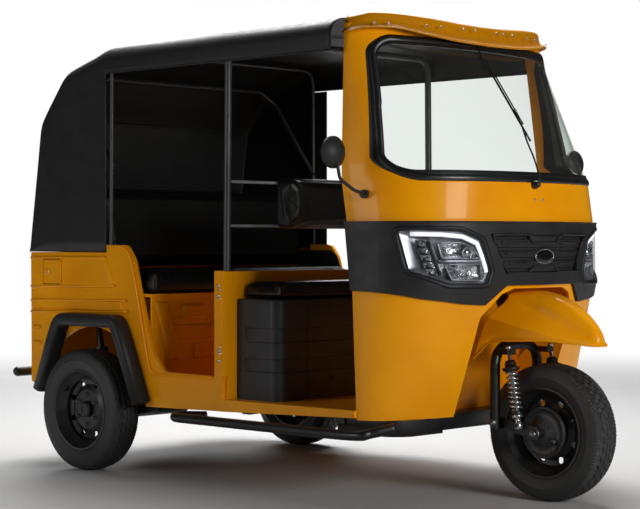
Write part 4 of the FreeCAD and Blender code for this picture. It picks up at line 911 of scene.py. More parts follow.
zinc = zinc_plate()
frame_surface = surface_of("windscreen_frame")
visor_surface = surface_of("roof_visor")
visor_screws = [front_point(visor_surface, y, VISOR_SCREW_Z_MM) for y in VISOR_SCREWS_MM]
screw_set("visor_screws", visor_screws, "body", zinc, 5.0, 2.6)
cowl_screws = []
for y in COWL_SCREWS_MM:
    place = front_point(frame_surface, y + SHEET_BESIDE_MM, COWL_SCREW_Z_MM)[0]
    normal = front_point(frame_surface, y + SLOPE_BESIDE_MM, COWL_SCREW_Z_MM)[1]
    cowl_screws.append((place - Vector((0, SHEET_BESIDE_MM / 1000, 0)), normal))
screw_set("cowl_screws", cowl_screws, "body", zinc, 6.0, 3.0)


def side_point(surface, x, z, side, lift=0.0):
    """Where a ray from one side meets a surface at station x, height z; None twice where it meets none."""
    found, normal, _, _ = surface.ray_cast(at(x, side * BESIDE_MM, z), Vector((0, -side, 0)))
    if found is None:
        return None, None
    if normal.y * side < 0:
        normal = -normal
    return found + normal * (lift / 1000), normal


post_screws = []
cab_side = surface_of("windscreen_frame", "front_panel", "front_apron", "b_posts", "bulkhead",
                      "quarter_panel_right", "quarter_panel_left")
for side in (-1, 1):
    for x, z in POST_SCREWS_MM:
        place, normal = side_point(cab_side, x, z, side)
        if place is not None:
            post_screws.append((place, normal))
screw_set("door_post_screws", post_screws, "body", zinc, 5.5, 2.8)

# -------------------- hood
# One piece of PVC-coated polyester canvas, heat-welded and stretched over the tube hoops: crowned roof,
# sloping back and flat quarter sides, with a welded hem along every free edge.
HOOD_HALF_MM, SHOULDER_MM, CROWN_MM = 621.0, 72.0, 18.0
HOOD_RIDGE_MM = ((1381.0, 1798.0), (61.0, 1785.0), (-190.0, 1690.0), (-348.0, 1482.0), (-431.0, 912.0))
LIP_Z_MM, BELT_Z_MM, CURTAIN_FRONT_MM = 1656.0, 912.0, 92.0
HOOP_STATIONS_MM = (110.0, 812.0, 1381.0)
CANVAS_STEP_MM, CANVAS_THICK_MM = 24.0, 1.6
CANVAS_MERGE_M = 0.0003
WEAVE_MM, WAVES_PER_SCALE = 5.0, 6.3             # a thread is 0.8 mm, drawn coarser so that it shows
ROOF_Z_MM, QUARTER_BACK_MM = 1785.0, -431.0
SAG_MM, HOLLOW_MM = 7.0, 4.0
HEM_STEPS, SHOULDER_STEPS, ROOF_STEPS = 14, 8, 12
HEM_RADIUS_MM, HEM_PITCH_MM = 3.2, 40
FRONT_FLAP_X_MM, FRONT_FLAP_Z_MM, FRONT_FLAP_DEPTH_MM = (95.0, 168.0, 182.0), (916.0, 1650.0), (1.0, 3.5)
TAPES_MM, TAPE_HALF_LENGTH_MM = ((1482.0, -336.0), (1200.0, -378.0)), 600


def coated_canvas(name, dark, light):
    """PVC-coated canvas: even near-black with the weave just showing through the skin and a dull sheen."""
    material, tree, place = new_material(name)
    weave = {"Vector": place, "Scale": 1000.0 / WEAVE_MM / WAVES_PER_SCALE, "Distortion": 0.4}
    warp = add(tree, "ShaderNodeTexWave", weave, bands_direction="X").outputs["Fac"]
    weft = add(tree, "ShaderNodeTexWave", weave, bands_direction="Z").outputs["Fac"]
    threads = add(tree, "ShaderNodeMath", {0: warp, 1: weft}, operation="ADD").outputs[0]
    fine = bumps(tree, threads, 0.12, 0.0004)
    slack = add(tree, "ShaderNodeBump", {"Height": noise(tree, place, 170.0, 2.0), "Strength": 0.15,
                                         "Distance": 0.006, "Normal": fine})
    cloth = add(tree, "ShaderNodeBsdfPrincipled", {
        "Base Color": tinted(tree, noise(tree, place, 120.0, 5.0), dark, light),
        "Roughness": spread(tree, noise(tree, place, 50.0, 4.0), 0.42, 0.54), "IOR": 1.52,
        "Specular IOR Level": 0.35, "Sheen Weight": 0.05, "Sheen Roughness": 0.4,
        "Normal": slack.outputs["Normal"]})
    return surfaced(material, cloth)


def ridge_line():
    """The hood's centre line from front to tail, evenly stepped and eased round its bends."""
    points = []
    corners = [Vector(p) for p in HOOD_RIDGE_MM]
    for low, high in zip(corners, corners[1:]):
        count = max(2, round((high - low).length / CANVAS_STEP_MM))
        points += [low.lerp(high, k / count) for k in range(count)]
    points.append(corners[-1])
    for _ in range(2):
        points = ([points[0]] + [(a + b * 2 + c) / 4 for a, b, c in zip(points, points[1:], points[2:])]
                  + [points[-1]])
    points.append(Vector((CURTAIN_FRONT_MM, 0)))
    return points[:-1]


def hood_half_section(x, top):
    """Right half of the canvas across station x: (half width, height) from hem to centre."""
    radius = SHOULDER_MM if x > 0 else max(30.0, SHOULDER_MM * (1.0 + x / 700.0))
    crown = CROWN_MM if x > 0 else CROWN_MM * max(0.0, 1.0 + x / 300.0)
    radius = min(radius, max(4.0, (top - crown - BELT_Z_MM) * 0.8))
    spring = top - crown - radius
    lip = min(LIP_Z_MM, spring - 1.0)
    rows = [(HOOD_HALF_MM, BELT_Z_MM + (lip - BELT_Z_MM) * k / HEM_STEPS) for k in range(HEM_STEPS)]
    rows += [(HOOD_HALF_MM, lip), (HOOD_HALF_MM, (lip + spring) / 2)]
    for k in range(SHOULDER_STEPS + 1):
        angle = math.pi / 2 * k / SHOULDER_STEPS
        rows.append((HOOD_HALF_MM - radius * (1 - math.cos(angle)), spring + radius * math.sin(angle)))
    flat = HOOD_HALF_MM - radius
    for k in range(1, ROOF_STEPS + 1):
        share = k / ROOF_STEPS
        rows.append((flat * (1 - share), top - crown * (1 - share) ** 2))
    return rows


def between_hoops(x):
    """0 on a hoop, 1 midway between two hoops."""
    for low, high in zip(HOOP_STATIONS_MM, HOOP_STATIONS_MM[1:]):
        if low <= x <= high:
            return math.sin(math.pi * (x - low) / (high - low)) ** 2
    return 0.0


def slack_at(x, y, z):
    """How far the cloth sags between two hoops and hollows in on the flat of the quarter side, in mm."""
    sag = SAG_MM * between_hoops(x) * (1 - (abs(y) / HOOD_HALF_MM) ** 4)
    if x > CURTAIN_FRONT_MM or z >= LIP_Z_MM or abs(y) <= HOOD_HALF_MM - 1:
        return sag, 0.0
    up = (z - BELT_Z_MM) / (LIP_Z_MM - BELT_Z_MM)
    along = (x - QUARTER_BACK_MM) / (CURTAIN_FRONT_MM - QUARTER_BACK_MM)
    return sag, HOLLOW_MM * math.sin(math.pi * up) * math.sin(math.pi * min(1.0, max(0.0, along)))


def facing_up(piece, merge_m=0.0):
    """Turns an open skin's outer side to the sky and smooths its shading; gives its area."""
    form = bmesh.new()
    form.from_mesh(piece.data)
    if merge_m > 0.0:
        bmesh.ops.delete(form, geom=[v for v in form.verts if not v.link_faces], context="VERTS")
        bmesh.ops.remove_doubles(form, verts=form.verts, dist=merge_m)
    bmesh.ops.recalc_face_normals(form, faces=form.faces)
    if sum((f.normal.z * f.calc_area() for f in form.faces), 0.0) < 0:
        bmesh.ops.reverse_faces(form, faces=form.faces)
    for face in form.faces:
        face.smooth = True
    area = sum(f.calc_area() for f in form.faces)
    form.to_mesh(piece.data)
    form.free()
    return area


def thicken(piece, sheet_mm):
    """Gives a skin the thickness of its sheet, on the inner side."""
    solid = piece.modifiers.new("thickness", "SOLIDIFY")
    solid.thickness, solid.offset = sheet_mm / 1000, -1.0


def make_canvas(material):
    """The canvas as one skin over the hoops, open along the passenger doors, and its area."""
    door_edge = [Vector((CURTAIN_FRONT_MM + step, ROOF_Z_MM + 0.5)) for step in (0.0, 0.5)]
    stations = sorted(ridge_line() + door_edge, key=lambda p: -p[0])
    points, faces, rows = [], [], []
    for x, top in stations:
        half = hood_half_section(x, top)
        row = []
        for y, z in [(-w, z) for w, z in half] + [(w, z) for w, z in reversed(half[:-1])]:
            sag, hollow = slack_at(x, y, z)
            row.append(len(points))
            points.append(at(x, y - math.copysign(hollow, y), z - sag))
        rows.append((x, row))
    last = len(rows[0][1]) - 1
    for (x_front, front), (_, back) in zip(rows, rows[1:]):
        open_side = x_front > CURTAIN_FRONT_MM
        for k in range(last):
            if open_side and (k < HEM_STEPS or k >= last - HEM_STEPS):
                continue
            faces.append((front[k], front[k + 1], back[k + 1], back[k]))
    canvas = mesh_object("hood_canvas", points, faces, material)
    area = facing_up(canvas, CANVAS_MERGE_M)
    thicken(canvas, CANVAS_THICK_MM)
    return canvas, area


def make_front_flap(material):
    """Board that closes the left quarter's front edge between its two hems."""
    points = [at(x, HOOD_HALF_MM - depth, z) for depth in FRONT_FLAP_DEPTH_MM
              for x in FRONT_FLAP_X_MM for z in FRONT_FLAP_Z_MM]
    faces = [(0, 2, 3, 1), (2, 4, 5, 3), (6, 7, 9, 8), (8, 9, 11, 10), (4, 10, 11, 5), (0, 1, 7, 6),
             (1, 3, 9, 7), (3, 5, 11, 9), (0, 6, 8, 2), (2, 8, 10, 4)]
    return mesh_object("flap", points, faces, material)


canvas_cloth = coated_canvas("pvc_coated_polyester_canvas", "101010", "171717")
hood, hood_area = make_canvas(canvas_cloth)
hems = []
for side in (-1, 1):
    y = side * (HOOD_HALF_MM - 1.0)
    hems.append(tube_along("hem", [at(x, y, LIP_Z_MM) for x in range(95, 1380, HEM_PITCH_MM)],
                           HEM_RADIUS_MM, canvas_cloth, 8))
    hems.append(tube_along("hem", [at(CURTAIN_FRONT_MM - 2, y, z) for z in range(914, 1656, HEM_PITCH_MM)],
                           HEM_RADIUS_MM, canvas_cloth, 8))
hems.append(make_front_flap(canvas_cloth))
hood_hem = join_pieces("hood_welded_hems", hems)
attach(hood, "body")
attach(hood_hem, "body")
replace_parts(hood, "hood_roof", "hood_back", "hood_sides")

# Welded seam tapes across the inside of the back, where the canvas panels overlap
tapes = []
for z, x in TAPES_MM:
    line = [(at(x, y, z), Vector((0, 0, 1)), Vector((1, 0, 0)))
            for y in range(-TAPE_HALF_LENGTH_MM, TAPE_HALF_LENGTH_MM + 1, 100)]
    tapes.append(sweep("tape", line, [(-9.0, -1.0), (-8.0, 2.5), (8.0, 2.5), (9.0, -1.0)], canvas_cloth,
                       closed=False))
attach(join_pieces("hood_seam_tapes", tapes), "body")

# -------------------- seats
# Bench, backrests and driver's cushion are moulded foam in black PVC leathercloth, sewn with piping round the
# top edge, then stapled to a board underneath. The piping is not drawn.
FOAM_VOXEL_M, COVER_MARGIN_M = 0.007, 0.004
FOAM_SHRINK = 0.62                 # the bare foam is drawn in by this share of the swelling
FOAM_PRESSURE, SWELL_FRAMES = 4.0, 14
BOARD_EDGE_M, BACK_EDGE_M = 0.006, 0.012
LEATHER_MM = 4.5                   # real grain is 1 mm, drawn coarser so that it shows
SEATS = (  # node, swelling in mm, face that stays flat on its board
    ("bench_cushion", 15.0, "bottom"), ("bench_backrest", 15.0, "back"),
    ("driver_cushion", 11.0, "bottom"), ("driver_backrest", 13.0, "back"))


def leathercloth(name, dark, light):
    """PVC leathercloth: black with an embossed hide grain and a soft greasy sheen where it is sat on."""
    material, tree, place = new_material(name)
    cells = add(tree, "ShaderNodeTexVoronoi", {"Vector": place, "Scale": 1000.0 / LEATHER_MM},
                feature="DISTANCE_TO_EDGE").outputs["Distance"]
    grain = bumps(tree, cells, 0.25, 0.0006)
    wear = noise(tree, place, 110.0, 4.0)
    hide = add(tree, "ShaderNodeBsdfPrincipled", {
        "Base Color": tinted(tree, wear, dark, light), "Roughness": spread(tree, wear, 0.36, 0.52),
        "IOR": 1.5, "Specular IOR Level": 0.3, "Normal": grain})
    return surfaced(material, hide)


def swell(piece, cap, held_flat):
    """Inflates a foam form as cloth under pressure, held on its board, and caps how far any point moves."""
    scene = bpy.context.scene
    remesh = piece.modifiers.new("remesh", "REMESH")
    remesh.mode, remesh.voxel_size = "VOXEL", FOAM_VOXEL_M
    piece.data = baked(piece)
    piece.modifiers.clear()
    rest = np.array([v.co for v in piece.data.vertices])
    low, high = rest.min(0), rest.max(0)
    held = piece.vertex_groups.new(name="board")
    if held_flat == "bottom":
        inside = rest[:, 2] < low[2] + BOARD_EDGE_M
    else:
        back = np.interp(rest[:, 2], [low[2], high[2]], [low[0] + (high[0] - low[0]) * 0.5, low[0]])
        inside = rest[:, 0] < back + BACK_EDGE_M
    held.add([int(i) for i in np.flatnonzero(inside)], 1.0, "REPLACE")
    cloth = piece.modifiers.new("foam", "CLOTH")
    cloth.settings.use_pressure = True
    cloth.settings.uniform_pressure_force = FOAM_PRESSURE
    cloth.settings.vertex_group_mass = "board"
    cloth.settings.effector_weights.gravity = 0.0
    cloth.settings.quality = 4
    for frame_number in range(1, SWELL_FRAMES + 1):
        scene.frame_set(frame_number)
    moved = baked(piece)
    now = np.array([v.co for v in moved.vertices])
    bpy.data.meshes.remove(moved)
    piece.modifiers.clear()
    step = now - rest
    length = np.linalg.norm(step, axis=1, keepdims=True)
    step *= np.minimum(1.0, cap / 1000 / np.maximum(length, 1e-9))
    piece.data.vertices.foreach_set("co", (rest + step).ravel())
    scene.frame_set(1)


def foam_form(name, node, shrink):
    """The CAD seat's own form drawn in a little, as the uncovered foam."""
    form = bmesh.new()
    form.from_mesh(nodes[node].data)
    bmesh.ops.remove_doubles(form, verts=form.verts, dist=1e-5)
    low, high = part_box(node)
    middle, size = (low + high) / 2, high - low
    for v in form.verts:
        for axis in range(3):
            v.co[axis] = middle[axis] + (v.co[axis] - middle[axis]) * (1 - 2 * shrink / 1000 / size[axis])
    mesh = bpy.data.meshes.new(name)
    form.to_mesh(mesh)
    form.free()
    return placed(name, mesh)


vinyl = leathercloth("black_pvc_leathercloth", "0b0b0b", "111111")
for node, cap, flat_on in SEATS:
    seat = foam_form(node + "_cover", node, cap * FOAM_SHRINK)
    swell(seat, cap, flat_on)
    seat.vertex_groups.clear()
    seat.data.materials.clear()
    seat.data.materials.append(vinyl)
    count = len(seat.data.vertices)
    co = np.zeros(count * 3)
    seat.data.vertices.foreach_get("co", co)
    co = co.reshape(-1, 3)
    node_low, node_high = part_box(node)
    co = np.clip(co, np.array(node_low) - COVER_MARGIN_M, np.array(node_high) + COVER_MARGIN_M)
    seat.data.vertices.foreach_set("co", co.ravel())
    for face in seat.data.polygons:
        face.use_smooth = True
    smooth = seat.modifiers.new("skin", "SUBSURF")
    smooth.levels = smooth.render_levels = 1
    outward(seat)
    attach(seat, "body")
    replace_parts(seat, node)

# -------------------- tyres
# Three bias-ply rubber tyres moulded with a zig-zag rib tread, siped shoulder lugs, a rim protector and two
# raised bands on the side wall. The side walls are bare.
TYRE_RADIUS_MM, TREAD_HALF_MM, CROWN_DROP_MM = 254.0, 57.0, 9.0
# radius and half width of a side wall, from the rim out to the shoulder
WALL_MM = ((153.0, 50.0), (160.0, 55.0), (169.0, 58.0), (173.0, 61.5), (178.0, 63.0), (181.0, 64.0),
           (196.0, 69.0), (201.0, 70.0), (203.0, 71.0), (207.0, 71.0), (209.0, 70.0), (222.0, 68.5),
           (233.0, 64.5), (240.0, 60.5))
GROOVES_MM, GROOVE_WIDTH_MM, GROOVE_DEPTH_MM = (-31.0, -10.5, 10.5, 31.0), 3.4, 6.5
ZIGZAG_COUNT, ZIGZAG_MM, LUG_COUNT, LUG_SLANT_MM, SIPE_SLANT_MM = 44, 3.4, 60, 400.0, 60.0
LUG_GAP, LUG_WALL, LUG_DEPTH = 0.34, 0.2, 0.8    # in wave heights, and as a share of the groove's depth
SIPE_GAP, SIPE_WALL, SIPE_DEPTH = 0.12, 0.1, 0.4
TREAD_ROWS, TREAD_STEPS = 39, 440
TYRES = (("front_tyre", "front_wheel", (1920.0, 0.0)), ("rear_right_tyre", "rear_right_wheel", (0.0, -630.0)),
         ("rear_left_tyre", "rear_left_wheel", (0.0, 630.0)))


def tyre_rubber():
    """Carbon-black tyre rubber with a little road dust on the tread and a waxy bloom on the walls."""
    material, tree, place = new_material("moulded_tyre_rubber")
    dust = noise(tree, place, 26.0, 5.0, 0.65)
    fine = noise(tree, place, 3.0, 3.0)
    bump = bumps(tree, fine, 0.2, 0.0006)
    skin = add(tree, "ShaderNodeBsdfPrincipled", {
        "Base Color": tinted(tree, dust, "1e1e1e", "2c2c2b"), "Roughness": spread(tree, dust, 0.5, 0.68),
        "Normal": bump})
    return surfaced(material, skin)


def saw(value):
    """A wave of straight slopes between -1 and 1 with period 1."""
    return 4.0 * np.abs(value - np.floor(value + 0.5)) - 1.0


def make_tyre(name, centre, material):
    """A tyre swept round its axle, each row of the tread cut by the ribs, lugs and sipes it meets."""
    turn = np.linspace(0.0, 1.0, TREAD_STEPS, endpoint=False)
    across = np.linspace(-TREAD_HALF_MM, TREAD_HALF_MM, TREAD_ROWS)
    rows = [(np.full(TREAD_STEPS, r), np.full(TREAD_STEPS, -w)) for r, w in WALL_MM]
    for y in across:
        radius = TYRE_RADIUS_MM - CROWN_DROP_MM * (abs(y) / TREAD_HALF_MM) ** 2.2 + np.zeros(TREAD_STEPS)
        depth = np.zeros(TREAD_STEPS)
        for k, middle in enumerate(GROOVES_MM):
            line = middle + ZIGZAG_MM * saw(turn * ZIGZAG_COUNT + 0.5 * (k % 2))
            depth = np.maximum(depth, np.clip(1.6 - np.abs(y - line) / GROOVE_WIDTH_MM * 1.6, 0.0, 1.0))
        if abs(y) > GROOVES_MM[-1]:
            slant = (abs(y) - GROOVES_MM[-1]) / LUG_SLANT_MM
            lug = np.abs(saw(turn * LUG_COUNT + slant * LUG_COUNT / 4))
            depth = np.maximum(depth, np.clip((LUG_GAP - lug) / LUG_WALL, 0.0, 1.0) * LUG_DEPTH)
        else:
            sipe = np.abs(saw(turn * ZIGZAG_COUNT + y / SIPE_SLANT_MM))
            depth = np.maximum(depth, np.clip((SIPE_GAP - sipe) / SIPE_WALL, 0.0, 1.0) * SIPE_DEPTH)
        rows.append((radius - GROOVE_DEPTH_MM * depth, np.full(TREAD_STEPS, y)))
    rows += [(np.full(TREAD_STEPS, r), np.full(TREAD_STEPS, w)) for r, w in reversed(WALL_MM)]
    radius = np.array([row[0] for row in rows])
    side = np.array([row[1] for row in rows])
    x = centre[0] + radius * np.cos(turn * 2 * np.pi)
    z = TYRE_RADIUS_MM + radius * np.sin(turn * 2 * np.pi)
    y = centre[1] + side
    origin = at(0.0, 0.0, 0.0)
    points = np.stack((x / 1000 + origin.x, y / 1000, z / 1000), axis=-1).reshape(-1, 3)
    count = len(rows)
    index = np.arange(count * TREAD_STEPS).reshape(count, TREAD_STEPS)
    below, above = index, np.roll(index, -1, axis=0)
    faces = np.stack((below, np.roll(below, -1, axis=1), np.roll(above, -1, axis=1), above), axis=-1)
    made = mesh_object(name, points.tolist(), faces.reshape(-1, 4).tolist(), material)
    crisp_edges(made)
    return made


def crisp_edges(piece, degrees=35.0):
    """Faces outwards and smooth, with crisp edges where the surface turns sharply."""
    outward(piece)
    piece.data.set_sharp_from_angle(angle=math.radians(degrees))


tyre_skin = tyre_rubber()
for node, body, middle in TYRES:
    tyre = make_tyre(node + "_tread", middle, tyre_skin)
    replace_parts(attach(tyre, body), node)

# -------------------- wheels
# Pressed-steel disc wheels in black stove enamel: zinc lug nuts on a bolt circle, a grease cap in the
# middle and a rubber valve through the rim. The front wheel carries an aluminium drum brake back plate.
LUG_CIRCLE_MM, LUG_COUNT_PER_WHEEL = 62.0, 6
WHEEL_SIDES = {"front_wheel": -1.0, "rear_right_wheel": -1.0, "rear_left_wheel": 1.0}    # way a disc faces
NUT_MM = ((10.5, -2), (10.5, 1.5), (8.0, 3.0), (7.6, 9.0), (5.2, 10.5), (4.6, 15.0), (0, 16.0))
VALVE_MM, VALVE_LEAN = (-108.0, 34.0, 78.0), (0.3, -0.25)

wheel_enamel = stoved_coat("black_stove_enamelled_wheel", "141414", "1f1f1f", 60.0, 0.3, 0.42)
dress(("front_wheel", "rear_right_wheel", "rear_left_wheel"), wheel_enamel)
nut_steel = bright_metal("zinc_plated_lug_nut", "55575a", "85878a", 8.0, 0.28, 0.42, 0.2)
for (_, body, middle), (wheel, side) in zip(TYRES, WHEEL_SIDES.items()):
    disc = surface_of(wheel)
    nuts = []
    for k in range(LUG_COUNT_PER_WHEEL):
        turn = 2 * math.pi * (k + 0.5) / LUG_COUNT_PER_WHEEL
        x, z = middle[0] + LUG_CIRCLE_MM * math.cos(turn), TYRE_RADIUS_MM + LUG_CIRCLE_MM * math.sin(turn)
        found = disc.ray_cast(at(x, middle[1] + side * 200.0, z), Vector((0, -side, 0)))[0]
        nuts.append(turned("nut", found, Vector((0, side, 0)), NUT_MM, nut_steel, 12))
    valve_at = at(middle[0] + VALVE_MM[0], middle[1] + side * VALVE_MM[1], TYRE_RADIUS_MM + VALVE_MM[2])
    nuts.append(turned("valve", valve_at, Vector((VALVE_LEAN[0], side, VALVE_LEAN[1])), [
        (6.0, -8), (5.5, 4), (3.6, 8), (3.4, 22), (4.2, 23), (4.2, 30), (0, 31)], rubber, 12))
    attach(join_pieces(wheel + "_nuts_and_valve", nuts), body)

# -------------------- front suspension units
# Coil-over dampers: chromed spring on a chromed tube, black rubber dust cup over the upper rod and a forged
# clevis at the foot, one each side of the fork.
DAMPER_LOW_MM, DAMPER_HIGH_MM = (1862.0, 284.0), (1814.0, 572.0)
DAMPER_SIDE_MM, SPRING_RADIUS_MM, SPRING_WIRE_MM, SPRING_TURNS = 129.0, 19.0, 4.6, 8.5
SPRING_SHARES, CUP_SHARE, COIL_STEPS = (0.19, 0.70), 0.72, 16

chrome_spring = bright_metal("chromed_spring_steel", "a5a7aa", "cfd1d3", 12.0, 0.1, 0.22, 0.05)
cast_grey = bright_metal("sand_cast_aluminium", "3a3b3c", "5a5b5c", 9.0, 0.45, 0.6, 0.5)
units = []
for side in (-1, 1):
    low = at(DAMPER_LOW_MM[0], side * DAMPER_SIDE_MM, DAMPER_LOW_MM[1])
    high = at(DAMPER_HIGH_MM[0], side * DAMPER_SIDE_MM, DAMPER_HIGH_MM[1])
    along = high - low
    length = along.length * 1000
    axis = along.normalized()
    across = axis.cross(Vector((0, 1, 0))).normalized()
    units.append(turned("body", low, axis, [
        (0, -17), (12, -15), (14, -8), (14, 8), (10, 12), (10.5, 26), (20, 28), (20.5, 36), (17, 39),
        (10, 42), (9.5, length * 0.66), (8, length * 0.67)], chrome_spring, 20))
    units.append(turned("collar", low, axis, [
        (0, 39), (19.5, 40), (20.5, 42), (20.5, 47), (19, 50), (0, 51)], stove_black, 20))
    first, last = SPRING_SHARES
    helix = []
    steps = int(SPRING_TURNS * COIL_STEPS)
    for k in range(steps + 1):
        share = first + (last - first) * k / steps
        turn = 2 * math.pi * SPRING_TURNS * k / steps
        helix.append(low + along * share + (across * math.cos(turn) + Vector((0, 1, 0)) * math.sin(turn))
                     * (SPRING_RADIUS_MM / 1000))
    units.append(tube_along("spring", helix, SPRING_WIRE_MM, chrome_spring, 8))
    cup = length * CUP_SHARE
    units.append(turned("cup", low, axis, [
        (0, cup - 12), (18, cup - 12), (30, cup - 8), (33, cup - 3), (31, cup + 2), (22, cup + 4),
        (21, cup + 18), (17, cup + 27), (10, cup + 30), (0, cup + 30)], rubber, 24))
    units.append(turned("rod", low, axis, [
        (0, cup + 20), (6.5, cup + 20), (6.5, length - 12), (10, length - 11), (10, length - 2),
        (0, length)], chrome, 16))
dampers = join_pieces("front_damper_units", units)
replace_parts(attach(dampers, "steering"), "front_dampers")

# -------------------- brake back plate and links
# Cast drum brake back plate on the near face of the front wheel, with its ring edge and lever, and the two
# forged link bars with a pivot plate on the fork leg.
AXLE_X_MM, PLATE_Y_MM, AXLE_NUT_Y_MM = 1920.0, -58.0, 121.0
LINK_Y_MM, LINK_RADIUS_MM, LINK_PIVOT_MM = 100.0, 6.0, (1754.0, 150.0, 286.0)
LINK_X_MM, LINKS_Z_MM, LINK_RISE_MM = (1764.0, 1840.0, 1916.0), ((268.0, 300.0), (242.0, 272.0)), 2.0

plate_at = at(AXLE_X_MM, PLATE_Y_MM, TYRE_RADIUS_MM)
brake = [turned("plate", plate_at, Vector((0, -1, 0)), [
    (96, -14), (96, -2), (93, 1), (88, 1), (86, -3), (60, -4), (52, 2), (34, 8), (30, 14), (0, 15)],
    cast_grey, 40),
    tube_along("lever", [plate_at + Vector((0.05, -0.014, -0.03)), plate_at + Vector((0.062, -0.02, -0.075))],
               6.0, stove_black, 10),
    turned("lever_boss", plate_at + Vector((0.05, -0.002, -0.03)), Vector((0, -1, 0)),
           [(12, -2), (12, 10), (9, 13), (0, 14)], cast_grey, 16)]
for side in (-1, 1):
    for z_front, z_back in LINKS_Z_MM:
        heights = (z_back, (z_back + z_front) / 2 + LINK_RISE_MM, z_front)
        brake.append(tube_along("link", [at(x, side * LINK_Y_MM, z) for x, z in zip(LINK_X_MM, heights)],
                                LINK_RADIUS_MM, stove_black, 10))
    nut_at = at(AXLE_X_MM, side * AXLE_NUT_Y_MM, TYRE_RADIUS_MM)
    brake.append(turned("axle_nut", nut_at, Vector((0, side, 0)), [
        (24, -12), (24, -9), (16, -8), (15, 4), (12, 7), (9, 7), (8.5, 16), (0, 17)], nut_steel, 6))
    pivot_at = at(LINK_PIVOT_MM[0], side * LINK_PIVOT_MM[1], LINK_PIVOT_MM[2])
    brake.append(turned("pivot", pivot_at, Vector((0, side, 0)), [
        (15, -12), (15, -2), (11, 0), (10.5, 7), (0, 8)], nut_steel, 12))
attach(join_pieces("front_brake_and_links", brake), "steering")

# -------------------- front mudguard
# Deep-drawn steel mudguard in the body colour: a smooth dome with a rolled crease down each side, a skirt
# behind the wheel and a thin hemmed edge, bolted to the fork stays.
# Right half across station x: lower crease, valley, upper crease, dome shoulder and crest edge as (y, z)
GUARD_MM = ((1650.0, ((146.0, 700.0), (118.0, 731.0), (94.0, 763.0), (80.0, 769.0), (42.0, 773.0))),
            (1790.0, ((134.0, 660.0), (110.0, 702.0), (88.0, 748.0), (76.0, 762.0), (42.0, 771.0))),
            (1880.0, ((122.0, 638.0), (100.0, 671.0), (78.0, 712.0), (68.0, 748.0), (38.0, 769.0))),
            (1970.0, ((106.0, 617.0), (85.0, 641.0), (64.0, 671.0), (58.0, 713.0), (33.0, 746.0))),
            (2040.0, ((84.0, 600.0), (67.0, 615.0), (50.0, 637.0), (45.0, 672.0), (27.0, 710.0))),
            (2095.0, ((64.0, 590.0), (51.0, 600.0), (38.0, 614.0), (34.0, 636.0), (20.0, 668.0))),
            (2125.0, ((49.0, 586.0), (40.0, 592.0), (31.0, 601.0), (27.0, 615.0), (15.0, 636.0))),
            (2139.0, ((33.0, 585.0), (27.0, 589.0), (21.0, 595.0), (18.0, 603.0), (10.0, 615.0))),
            (2143.0, ((21.0, 584.0), (17.0, 587.0), (13.0, 592.0), (11.0, 599.0), (7.0, 608.0))))
GUARD_LOW_MM = ((1655.0, 512.0), (1724.0, 577.0), (1778.0, 590.0), (1978.0, 597.0), (2146.0, 581.0))
GUARD_REAR_MM = ((512.0, 1655.0), (676.0, 1718.0), (744.0, 1784.0), (790.0, 1772.0))
GUARD_BACK_MM, GUARD_NOSE_MM, GUARD_SAMPLES = 1655.0, 2143.0, 245
GUARD_STEPS, GUARD_SHEET_MM = 70, 2.5
FLANK_SHARES, DOME_STEPS, CROWN_RISE = (0, 0.35, 0.7, 0.93), 12, 0.09
CREASE_ROWS = (4, 8)               # rows of the section that are the lower and the upper crease
HEM_FROM_NOSE_MM, GUARD_HEM_RADIUS_MM, GUARD_HEM_STEPS = 2.0, 4.2, 60


def curve_through(knots, where):
    """Smooth values at the places asked for, through (place, value) knots, without overshoot."""
    places = np.array([k[0] for k in knots])
    values = np.array([k[1] for k in knots])
    slopes = np.diff(values) / np.diff(places)
    tangents = np.concatenate(([slopes[0]], (slopes[1:] + slopes[:-1]) / 2, [slopes[-1]]))
    tangents[1:-1][slopes[1:] * slopes[:-1] <= 0] = 0.0
    where = np.clip(where, places[0], places[-1])
    i = np.clip(np.searchsorted(places, where) - 1, 0, len(places) - 2)
    run = places[i + 1] - places[i]
    t = (where - places[i]) / run
    return ((2 * t ** 3 - 3 * t ** 2 + 1) * values[i] + (t ** 3 - 2 * t ** 2 + t) * run * tangents[i]
            + (3 * t ** 2 - 2 * t ** 3) * values[i + 1] + (t ** 3 - t ** 2) * run * tangents[i + 1])


def guard_rows(x):
    """Right half of the mudguard across x, from its hem to the crest, as (y, z)."""
    marks = [(float(curve_through([(s, row[k][0]) for s, row in GUARD_MM], x)),
              float(curve_through([(s, row[k][1]) for s, row in GUARD_MM], x))) for k in range(5)]
    hem_z = float(np.interp(x, [p[0] for p in GUARD_LOW_MM], [p[1] for p in GUARD_LOW_MM]))
    crease, valley, upper, shoulder, crest = marks
    hem = (crease[0] - 2.0, min(hem_z, crease[1] - 4.0))
    crown = (0.0, crest[1] + crest[0] * CROWN_RISE)
    flank = [(hem[0] + (crease[0] - hem[0]) * s, hem[1] + (crease[1] - hem[1]) * s) for s in FLANK_SHARES]
    ledge = [crease, ((crease[0] * 2 + valley[0]) / 3, (crease[1] * 2 + valley[1]) / 3), valley,
             ((valley[0] + upper[0]) / 2, (valley[1] + upper[1]) / 2), upper]
    dome_marks = [upper, shoulder, crest, crown]
    reach = np.linspace(0.0, 1.0, DOME_STEPS + 1)[1:]
    lengths = np.cumsum([0.0] + [math.dist(a, b) for a, b in zip(dome_marks, dome_marks[1:])])
    lengths = lengths / lengths[-1]
    dome_y = curve_through(list(zip(lengths, [m[0] for m in dome_marks])), reach)
    dome_z = curve_through(list(zip(lengths, [m[1] for m in dome_marks])), reach)
    return flank + ledge + list(zip(dome_y.tolist(), dome_z.tolist()))


